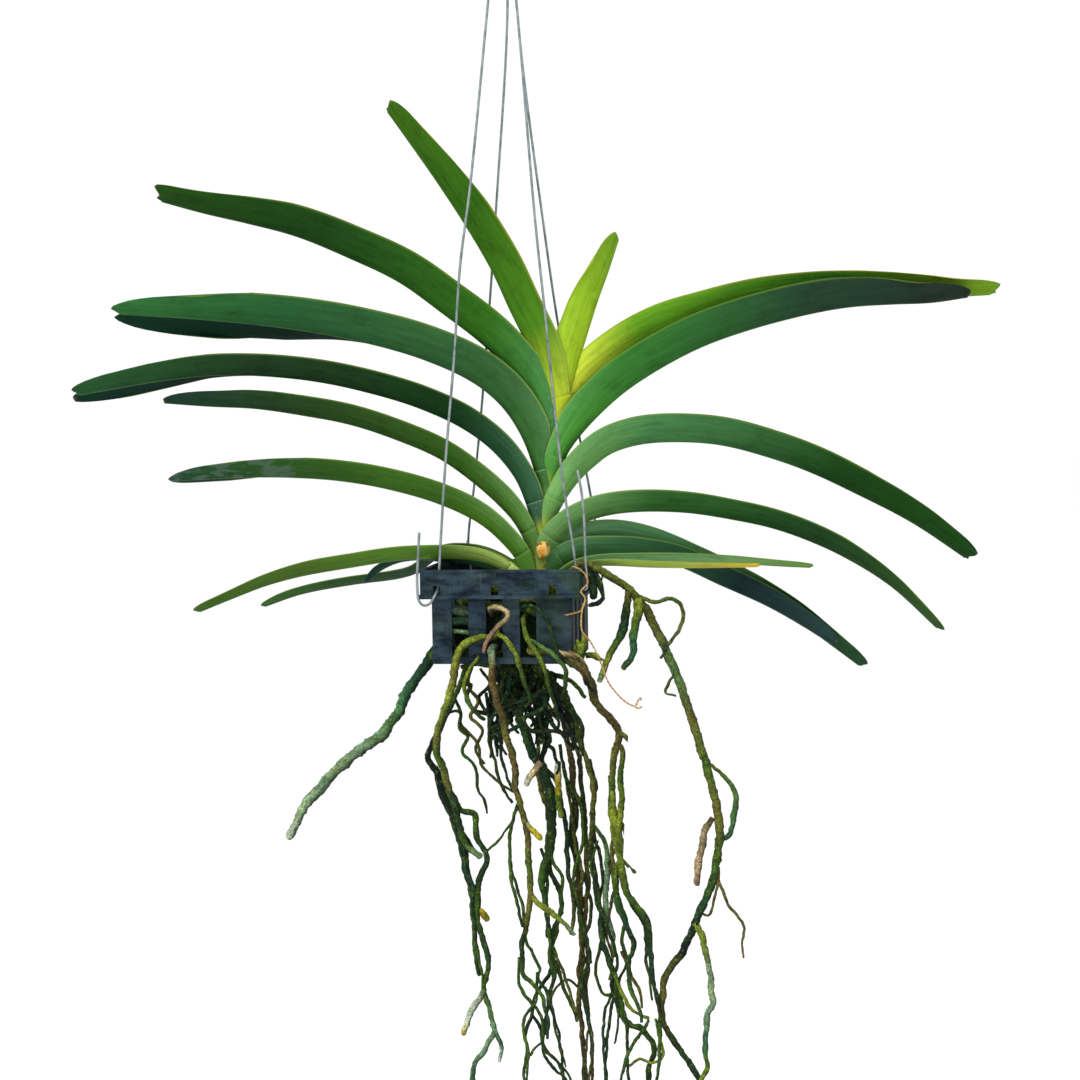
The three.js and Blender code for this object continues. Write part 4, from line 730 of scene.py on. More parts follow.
def leafFinish(leaf, length):
    finish = Finish(leaf["name"] + "_skin", Specular_IOR_Level=0.055)
    across, reach, inner, underShade = [finish.drawn(name) for name in ("across", "reach", "inner", "underShade")]
    seed = sum(map(ord, leaf["name"])) % 37
    patterns = []
    for wide, long, *values in leafPatterns.values():
        patterns.append(finish.speckle(finish.stretched(across * wide, reach * long, seed), *values))
    streaks, veins, blotches, grain, specks = patterns
    streaks, veins = finish.between(streaks, 0.34, 0.66), finish.between(veins, 0.3, 0.7)
    t = reach / length
    colour = finish.ramp(t, list(zip((0.06, 0.3, 0.66, 0.97), [tint(*stop) for stop in leaf["colours"]])))
    tone = 0.72 + 0.22 * streaks + 0.12 * veins + 0.16 * grain + 0.2 * finish.between(across, 0.02, 0.95)
    tone = tone - 0.22 * finish.between(blotches, 0.48, 0.7)
    colour = finish.shade(colour, tone * (leaf.get("lift", 1.0) * (1 - 0.14 * inner)))
    grains = finish.between(finish.speckle(finish.place(), 1100.0, 3.0, 0.6), 0.44, 0.62)
    nearFoot = finish.between(reach, 100.0, 30.0)
    powder = nearFoot * (0.3 + 0.7 * grains) * finish.between(abs(across), 0.25, 1.0)
    dustFrom = leaf.get("dusty", 2.0)  # most leaves have none, as their length ends at 1
    rib = 1 - finish.between(abs(across), 0.0, 0.05)
    edge = finish.between(abs(across), 0.93, 1.0)
    margin = "youngMargin" if leaf["slot"] == "young_leaf" else "margin"
    colour = finish.layered(colour, leafSkin, {
        "bloom": powder * (1 - inner),
        "dust": finish.between(t, dustFrom, dustFrom + 0.12) * finish.between(blotches, 0.46, 0.56),
        "rib": rib,
        # painted shade on the back half's underside
        "shaded": underShade,
        margin: edge,
        "footMargin": edge * finish.between(reach, 110.0, 30.0),
        "speck": finish.between(specks, 0.79, 0.82),
        "burnt": finish.between(reach + 1.2 * streaks, length - 1.8, length + 0.6),
        "seam": finish.between(reach, leafShape["sheath"] + 0.6, leafShape["sheath"] + 0.1),
    }, own=leaf)
    roughness = 0.4 + 0.16 * blotches + 0.08 * veins + 0.4 * underShade
    height = veins * 0.5 + streaks + grain * 0.3 + rib * 0.5 * (1 - inner)
    return finish.done(Base_Color=colour, Roughness=roughness, Normal=finish.bump(height, 0.0003, 0.4))


def addLeaves():
    for n, leaf in enumerate(leaves):
        path = keelPath(leaf)
        grid = leafRows(leaf, path, leafShape["sheath"], path.length, leafShape["rows"], ragged=3.7 * n)
        places, faces, drawn = sheetSkin(grid, leaf["side"])
        addPiece(leaf["name"], places, faces, leafFinish(leaf, path.length), drawn)


addLeaves()
print("leaves done:", len(leaves))


# Stem: a tapering core with the sheath that each leaf clasps it with

stemShape = {
    "axis": [(12, -21), (15, -6), (17.5, 10), (20.5, 32), (24, 60), (27.5, 88), (30, 110)],
    "width": [6.5, 6.5, 5, 3.8, 2.8, 2.2, 1.4],
    "depth": [6.5, 6.5, 5.2, 4.2, 3, 2, 1.1],
    "sides": 24, "rows": 40, "sheathRows": 14, "sheathThicker": 0.15, "footFade": (2, 17), "coreReach": 4.0,
    "pith": [(170, 160, 66), (176, 182, 74), (160, 186, 72), (190, 196, 60), (222, 184, 44)],
    "foot": (150, 172, 70),
}

stemSkin = {"powder": ((132, 172, 150), 0.22), "scar": ((84, 70, 40), 0.7), "seam": ((172, 192, 150), 1.0)}


def stemFinish():
    finish = Finish("sheath_skin", Specular_IOR_Level=0.08)
    across, reach, seam = [finish.drawn(name) for name in ("across", "reach", "seam")]
    veins = finish.speckle(finish.stretched(across * 30.0, reach * 0.02), 1.0, 2.0)
    patches = finish.speckle(finish.place(), 90.0, 4.0, 0.6)
    grain = finish.speckle(finish.place(), 1100.0, 3.0, 0.65)
    colour = finish.shade(finish.drawn("tone", "Color"), 0.66 + 0.24 * veins + 0.22 * patches + 0.16 * grain)
    dusted = finish.between(reach, 6.0, 20.0) * finish.between(seam, 0.0, 0.05)
    edge = finish.between(abs(across) + 0.06 * patches, 0.97, 1.03)
    colour = finish.layered(colour, stemSkin, {
        "powder": finish.between(grain, 0.46, 0.64) * dusted,
        "scar": edge * finish.between(reach, 26.0, 8.0),
        "seam": finish.between(reach, leafShape["sheath"] - 0.5, leafShape["sheath"] - 0.1) * seam,
    })
    return finish.done(Base_Color=colour, Roughness=0.42 + 0.2 * patches,
                       Normal=finish.bump(veins + patches + 0.5 * grain, 0.0004, 0.5))


def addStem():
    places, faces, colours = [], [], []
    drawn = {"across": [], "reach": [], "seam": []}
    for leaf in leaves:
        grid = leafRows(leaf, keelPath(leaf), 0, leafShape["sheath"], stemShape["sheathRows"],
                        thicker=stemShape["sheathThicker"])
        skin, skinFaces, skinDrawn = sheetSkin(grid, leaf["side"])
        addShape(places, faces, skin, skinFaces)
        base = Vector(tint(*leaf["colours"][0])) * leaf.get("lift", 1.0)
        foot = Vector(tint(*leaf.get("foot", stemShape["foot"])))
        for reach in skinDrawn["reach"]:
            colours.append(tuple(foot.lerp(base, eased(reach, *stemShape["footFade"]))))
        seam = 0.0 if leaf["slot"] == "young_leaf" else leaf.get("seam", leafSkin["seam"][1])
        drawn["across"] += skinDrawn["across"]
        drawn["reach"] += skinDrawn["reach"]
        drawn["seam"] += [seam] * len(skin)
    axis = Path([(x, 0, z) for x, z in stemShape["axis"]])
    pith = [Vector(tint(*colour)) for colour in stemShape["pith"]]
    sides, rows = stemShape["sides"], stemShape["rows"]
    faces += ringFaces(len(places), rows, sides)
    for i in range(rows + 1):
        centre = axis.at(axis.length * i / rows)
        wide = along(stemShape["width"], i / rows)
        deep = along(stemShape["depth"], i / rows)
        for j in range(sides):
            angle = 2 * math.pi * j / sides
            places.append(centre + Vector((wide * math.cos(angle), deep * math.sin(angle), 0)))
            colours.append(tuple(along(pith, i / rows)))
            for name, value in zip(drawn, (0.0, stemShape["coreReach"], 0.0)):
                drawn[name].append(value)
    addPiece("stem", places, faces, stemFinish(), drawn, colours)


addStem()
print("stem and sheaths done")


# Root bud: a lumpy orange cone on the front of the stem, with the torn ends of its scales at the top

bud = {
    "centre": (17.7, -10.8, 9.2), "radii": (4.0, 4.0, 5.4), "sides": 32, "rows": 26, "poles": 0.02,
    "topPower": 0.8, "footPower": 1.1, "lumps": 0.2, "lumpWaves": (1.6, 1.3), "fineLumps": (3.1, 0.4),
    "ridges": 5, "ridge": 0.07, "ridgeTurn": 1.1, "crestHighlight": 0.7, "toneNoise": 0.3,
    "scales": [(-2.4, -1.8, 2.4, -4.2, -2.2, 6.0), (2.2, -2.2, 3.0, 3.8, -2.4, 6.6),
               (-1.4, -2, 3.8, -1.2, -2.4, 5.2)],
    "scaleRadii": [1.1, 0.8, 0.25], "scaleBow": (0, -0.3, 0),
    "low": (200, 112, 28), "middle": (234, 172, 60), "high": (238, 204, 96), "crest": (246, 224, 140),
    "scale": (116, 96, 44),
}


def budFinish():
    finish = Finish("bud_skin", Coat_Weight=0.05)
    grain = finish.speckle(finish.place(), 620.0, 4.0)
    furrows = finish.brushed(finish.place(), (900, 900, 160), 3.0)
    colour = finish.shade(finish.drawn("tone", "Color"), 0.6 + 0.45 * grain + 0.3 * furrows)
    return finish.done(Base_Color=colour, Roughness=0.45 + 0.2 * grain,
                       Normal=finish.bump(grain + furrows, 0.0004, 0.6))


def budPoint(polar, angle):
    # a place on the bud with how high its ridge is there, and where its noise is read
    power = bud["topPower"] if polar > math.pi / 2 else bud["footPower"]
    ring = math.sin(polar) ** power
    roundWave, tallWave = bud["lumpWaves"]
    fineWave, fineShare = bud["fineLumps"]
    spot = Vector((math.cos(angle) * roundWave, math.sin(angle) * roundWave, polar * tallWave))
    crest = math.cos(bud["ridges"] * (angle + bud["ridgeTurn"])) * math.sin(polar)
    lumps = noise.noise(spot) + fineShare * noise.noise(spot * fineWave)
    lump = 1 + bud["lumps"] * lumps + bud["ridge"] * crest
    wide, deep, tall = bud["radii"]
    offset = Vector((wide * ring * math.cos(angle) * lump, deep * ring * math.sin(angle) * lump,
                     -tall * math.cos(polar) * (0.5 + 0.5 * lump)))
    return Vector(bud["centre"]) + offset, crest, spot


def addBud():
    places, colours = [], []
    sides, rows = bud["sides"], bud["rows"]
    ramp = [Vector(tint(*bud[part])) for part in ("low", "middle", "middle", "high")]
    for i in range(rows + 1):
        polar = math.pi * (bud["poles"] + (1 - 2 * bud["poles"]) * i / rows)
        for j in range(sides):
            place, crest, spot = budPoint(polar, 2 * math.pi * j / sides)
            places.append(place)
            tone = along(ramp, i / rows + bud["toneNoise"] * noise.noise(spot * 2))
            # the ridge crests are painted paler, a painted highlight
            colours.append(tuple(tone.lerp(Vector(tint(*bud["crest"])), max(crest, 0) * bud["crestHighlight"])))
    faces = ringFaces(0, rows, sides)
    for scale in bud["scales"]:
        start, end = [Vector(bud["centre"]) + Vector(part) for part in (scale[:3], scale[3:])]
        middle = (start + end) / 2 + Vector(bud["scaleBow"])
        shape = tube([start, middle, end], bud["scaleRadii"], 8, 0.4)
        addShape(places, faces, shape["places"], shape["faces"])
        colours += [tint(*bud["scale"])] * len(shape["places"])
    addPiece("root_bud", places, faces, budFinish(), colours=colours)


addBud()
print("root bud done")


# Basket: a moulded square with a deep rim, slatted walls and a slatted floor, cut from a grid of blocks

basket = {
    "rimSide": 98, "rimHeight": 17.5, "rimWall": 2.4, "lipStep": 1.2, "lipHeight": 2.2,
    "collar": 0.5, "collarHeight": 1.8, "bodySide": 86, "bodyWall": 2.2, "height": 57.5, "floor": 2.2,
    "slotWidth": 10, "slots": [-25.5, -4.6, 16], "slotBottom": -53.5, "floorSlot": 70,
    "holes": [-38.5, -3.2, 32], "holeHeight": -12.5, "holeWidth": 4.4, "holeLength": 6,
    "turn": -7.5, "tilt": -0.9, "x": -2, "bevel": 0.45, "corner": 2,
}

basketSkin = {
    "plastic": (22, 31, 40), "scuffs": ((50, 66, 79), 1.0), "dust": ((72, 90, 92), 0.5),
    "scratches": ((104, 120, 124), 0.16), "algae": ((46, 68, 42), 1.0), "sideFace": ((20, 30, 26), 0.8),
}

basketNoises = {"grain": (900.0, 3.0), "dust": (45.0, 5.0, 0.6), "algae": (60.0, 4.0, 0.65, 0.5)}

basketPlace = (Matrix.Translation((basket["x"], 0, 0)) @ Matrix.Rotation(math.radians(basket["turn"]), 4, "Z")
               @ Matrix.Rotation(math.radians(basket["tilt"]), 4, "Y"))


def inBasket(x, y, z):
    return basketPlace @ Vector((x, y, z))


def cuts(value, middles, width):
    return any(abs(value - middle) < width / 2 for middle in middles)


def isPlastic(x, y, z):
    b = basket
    far = max(abs(x), abs(y))
    ledgeTop = -b["rimHeight"] + b["lipHeight"]
    rim, body = b["rimSide"] / 2, b["bodySide"] / 2
    # the place as seen from whichever wall it is nearest to
    u = x if abs(y) >= abs(x) else y
    turned = u if (y < 0 and abs(y) >= abs(x)) or (x > 0 and abs(x) > abs(y)) else -u
    hole = cuts(turned, b["holes"], b["holeWidth"]) and cuts(z, [b["holeHeight"]], b["holeLength"])
    if z > ledgeTop:
        outside = rim + (b["collar"] if z > -b["collarHeight"] else 0)
        return rim - b["rimWall"] < far < outside and not hole
    if z > -b["rimHeight"]:
        return body - b["bodyWall"] < far < rim + b["lipStep"] and not (hole and far > rim - b["rimWall"])
    if z < -b["height"] + b["floor"]:
        return far < body and not (cuts(x, b["slots"], b["slotWidth"]) and abs(y) < b["floorSlot"] / 2)
    slot = cuts(turned, b["slots"], b["slotWidth"]) and z > b["slotBottom"]
    return body - b["bodyWall"] < far < body and not slot


def basketBreaks():
    b = basket
    rim, body, ledge = b["rimSide"] / 2, b["bodySide"] / 2, -b["rimHeight"]
    flat = {rim, rim - b["rimWall"], rim + b["lipStep"], rim + b["collar"], body, body - b["bodyWall"],
            b["floorSlot"] / 2}
    for middles, width in ((b["slots"], b["slotWidth"]), (b["holes"], b["holeWidth"])):
        for c in middles:
            flat |= {abs(c - width / 2), abs(c + width / 2)}
    flat = sorted(round(v, 4) for v in flat)
    flat = [-v for v in reversed(flat)] + flat
    tall = {0, -b["collarHeight"], ledge, ledge + b["lipHeight"], -b["height"], -b["height"] + b["floor"],
            b["slotBottom"], b["holeHeight"] + b["holeLength"] / 2, b["holeHeight"] - b["holeLength"] / 2}
    return flat, sorted(round(v, 4) for v in tall)


def blockMesh(xs, ys, zs, isFilled):
    # the outer faces of a grid of blocks
    def filled(i, j, k):
        if not (0 <= i < len(xs) - 1 and 0 <= j < len(ys) - 1 and 0 <= k < len(zs) - 1):
            return False
        return isFilled((xs[i] + xs[i + 1]) / 2, (ys[j] + ys[j + 1]) / 2, (zs[k] + zs[k + 1]) / 2)

    known = {(i, j, k): filled(i, j, k) for i in range(-1, len(xs)) for j in range(-1, len(ys))
             for k in range(-1, len(zs))}
    corners, faces = {}, []

    def corner(i, j, k):
        return corners.setdefault((i, j, k), len(corners))

    for (i, j, k), solid in known.items():
        if not solid:
            continue
        sides = [
            ((i - 1, j, k), [(i, j, k), (i, j, k + 1), (i, j + 1, k + 1), (i, j + 1, k)]),
            ((i + 1, j, k), [(i + 1, j, k), (i + 1, j + 1, k), (i + 1, j + 1, k + 1), (i + 1, j, k + 1)]),
            ((i, j - 1, k), [(i, j, k), (i + 1, j, k), (i + 1, j, k + 1), (i, j, k + 1)]),
            ((i, j + 1, k), [(i, j + 1, k), (i, j + 1, k + 1), (i + 1, j + 1, k + 1), (i + 1, j + 1, k)]),
            ((i, j, k - 1), [(i, j, k), (i, j + 1, k), (i + 1, j + 1, k), (i + 1, j, k)]),
            ((i, j, k + 1), [(i, j, k + 1), (i + 1, j, k + 1), (i + 1, j + 1, k + 1), (i, j + 1, k + 1)]),
        ]
        for beside, loop in sides:
            if not known[beside]:
                faces.append(tuple(corner(*place) for place in loop))
    places = [Vector((xs[i], ys[j], zs[k])) for i, j, k in corners]
    return places, faces


def basketFinish():
    finish = Finish("basket_plastic", Specular_IOR_Level=0.03)
    place = finish.place()
    grain, dust, algae = finish.speckles(place, basketNoises)
    scuffs = finish.brushed(place, (70, 70, 200), 5.0)
    scratches = finish.brushed(place, (800, 800, 70), 3.0)
    right = finish.between(finish.sideways(place), 0.006, 0.05)
    # faces turned to the right get a painted shade
    sideFace = finish.sideways(finish.node("ShaderNodeNewGeometry", {}, {}, "Normal"))
    colour = finish.layered(tint(*basketSkin["plastic"]), basketSkin, {
        "scuffs": finish.between(scuffs, 0.34, 0.64),
        "dust": finish.between(dust, 0.46, 0.68),
        "scratches": finish.between(scratches, 0.58, 0.72),
        "algae": finish.between(algae, 0.4, 0.62) * (0.14 + 0.5 * right),
        "sideFace": finish.between(sideFace, 0.5, 0.9),
    })
    colour = finish.shade(colour, 0.74 + 0.4 * grain)
    return finish.done(Base_Color=colour, Roughness=0.45 + 0.25 * scuffs,
                       Normal=finish.bump(grain * 0.6 + scuffs, 0.0002, 0.5))


def roundCorners(mesh):
    # the four upright corners of the rim and the body
    bm = bmesh.new()
    bm.from_mesh(mesh)
    back = basketPlace.inverted()
    near = 0.01
    corners = []
    for edge in bm.edges:
        ends = [back @ (vert.co * 1000 + Vector((hook["x"], 0, hook["height"]))) for vert in edge.verts]
        upright = abs(ends[0].x - ends[1].x) < near and abs(ends[0].y - ends[1].y) < near
        onDiagonal = abs(abs(ends[0].x) - abs(ends[0].y)) < near
        outside = abs(ends[0].x) > basket["bodySide"] / 2 - 0.1
        if upright and onDiagonal and outside and edge.is_convex:
            corners.append(edge)
    bmesh.ops.bevel(bm, geom=corners, offset=basket["corner"] / 1000, segments=4, profile=0.5, affect="EDGES")
    bm.to_mesh(mesh)
    bm.free()


def addBasket():
    flat, tall = basketBreaks()
    places, faces = blockMesh(flat, flat, tall, isPlastic)
    piece = addPiece("basket", [basketPlace @ place for place in places], faces, basketFinish(),
                     smooth=False)
    roundCorners(piece.data)
    bevel = piece.modifiers.new("soft edges", "BEVEL")
    bevel.width = basket["bevel"] / 1000
    bevel.segments = 2
    bevel.limit_method = "ANGLE"
    bevel.harden_normals = True


addBasket()
print("basket done")


# Hanger wires. Each one comes down from the neck over its bends to its foot, which is in the basket's frame.
# The one that has the hook goes on above the neck. Throat and free end are seen from the hook's middle line.

hanger = {
    "radius": 0.8, "gather": 425, "neck": 24, "neckRadius": 1.65, "neckTurns": 0.75, "neckSpans": 12,
    "sides": 10, "step": 1.2, "freeEnd": (0.98, 0, -0.95), "hookDegrees": range(-30, 216, 35),
    "throat": (-3.2, 0.2, 8.5), "zinc": (150, 160, 160), "patina": (104, 118, 120),
}

wires = [
    {
        "name": "hanger_wire_front_left", "phase": 225,
        "bends": [(-15, -7, 350), (-26.3, -19, 232), (-32.4, -24, 183), (-36, -30, 127), (-40.6, -35.5, 71)],
        "foot": [(-35.8, -44, 24), (-37.4, -45, 0), (-38.3, -45.3, -10.4), (-38.4, -48, -12.6),
                 (-39.4, -52, -15.6), (-42, -53.2, -19.8), (-45.4, -53.4, -21), (-48.4, -53.3, -18.6),
                 (-49.6, -52.8, -8), (-48.9, -52, 8), (-48, -51.4, 23)],
    },
    {
        "name": "hanger_wire_back_left", "phase": 135, "hook": True,
        "bends": [(-3.9, 7, 350), (-11, 20, 226), (-20.2, 34, 105), (-25.6, 42, 50)],
        "foot": [(-33.8, 44.4, 12), (-32.8, 45.3, -3), (-32.1, 45.3, -10.4), (-32, 48, -12.6),
                 (-32.6, 51.6, -13), (-33.8, 52.6, -8), (-34.8, 52.4, 2), (-35.7, 52.2, 12)],
    },
    {
        "name": "hanger_wire_front_right", "phase": 315,
        "bends": [(4.2, -12, 315), (12.8, -23, 213), (18.8, -29, 156), (23.9, -34.5, 106), (29.9, -40, 52)],
        "foot": [(43.8, -39.6, 12), (45.2, -39, -3), (45.3, -38.6, -10.4), (48, -38.5, -12.4),
                 (51, -38.5, -12.8), (51.6, -39, -8), (51, -39.8, 4), (50.6, -40.6, 30), (49.4, -41.4, 46),
                 (47.2, -41.6, 59)],
    },
    {
        "name": "hanger_wire_back_right", "phase": 45,
        "bends": [(4.4, 7, 315), (17.7, 17, 214), (27.8, 23, 146), (39, 26, 88)],
        "foot": [(48.9, 31.2, 28), (50.8, 31.6, 10), (52.8, 31.9, -6), (53.5, 32, -11), (51.9, 32, -13.8),
                 (48, 32, -12.6), (45.3, 32, -10.4), (45, 31.8, 2), (45, 31.4, 15)],
    },
]


def neckPoint(phase, t):
    angle = math.radians(phase) + 2 * math.pi * hanger["neckTurns"] * t
    across = hook["x"] + hanger["neckRadius"] * math.cos(angle)
    return Vector((across, hanger["neckRadius"] * math.sin(angle), hanger["gather"] + hanger["neck"] * t))


def hookPoints():
    centre = Vector((hook["x"], 0, hook["height"] - hook["radius"] + hanger["radius"]))
    turns = [math.radians(degrees) for degrees in hanger["hookDegrees"]]
    ways = [Vector(hanger["freeEnd"])] + [Vector((math.cos(turn), 0, math.sin(turn))) for turn in turns]
    throat = Vector((hook["x"], 0, hanger["gather"] + hanger["neck"])) + Vector(hanger["throat"])
    return [centre + way * hook["radius"] for way in ways] + [throat]


def wireFinish():
    finish = Finish("hanger_wire_zinc", Metallic=0.85)
    place = finish.place()
    patina = finish.speckle(place, 160.0, 4.0, 0.6)
    drawn = finish.speckle(place, 1400.0, 2.0)
    colour = finish.mix(finish.between(patina, 0.35, 0.7), tint(*hanger["zinc"]), tint(*hanger["patina"]))
    return finish.done(Base_Color=colour, Roughness=0.34 + 0.24 * patina,
                       Normal=finish.bump(drawn, 0.00005, 0.4))


def addWires():
    finish = wireFinish()
    spans = hanger["neckSpans"]
    for wire in wires:
        points = hookPoints() if wire.get("hook") else []
        points += [neckPoint(wire["phase"], 1 - i / spans) for i in range(spans + 1)]
        points += [Vector(place) for place in wire["bends"]] + [inBasket(*place) for place in wire["foot"]]
        shape = tube(points, [hanger["radius"]] * 2, hanger["sides"], hanger["step"])
        addPiece(wire["name"], shape["places"], shape["faces"], finish)


addWires()
print("hanger done")


# Roots. Strands run from the basket outwards, and the first places of some are in the basket's frame. Each
# has its places, its radii and the names of its colours along it, and a leaflet also has how flat it is.

slotLeft, slotMiddle, slotRight = basket["slots"]

# the root that the tangle hangs from
tangleRoot = [
    (-33, -10, -63), (-29, -10.5, -62), (-18, -15, -60.8), (-9, -19, -62), (2, -18, -61.4), (11, -16, -62.6),
    (13.6, -23, -63.4), (26, -20, -67), (38, -16.4, -73), (44, -15, -82),
]


def level(depth, *places):
    # places across and up that all lie at one depth
    return [(x, depth, z) for x, z in places]


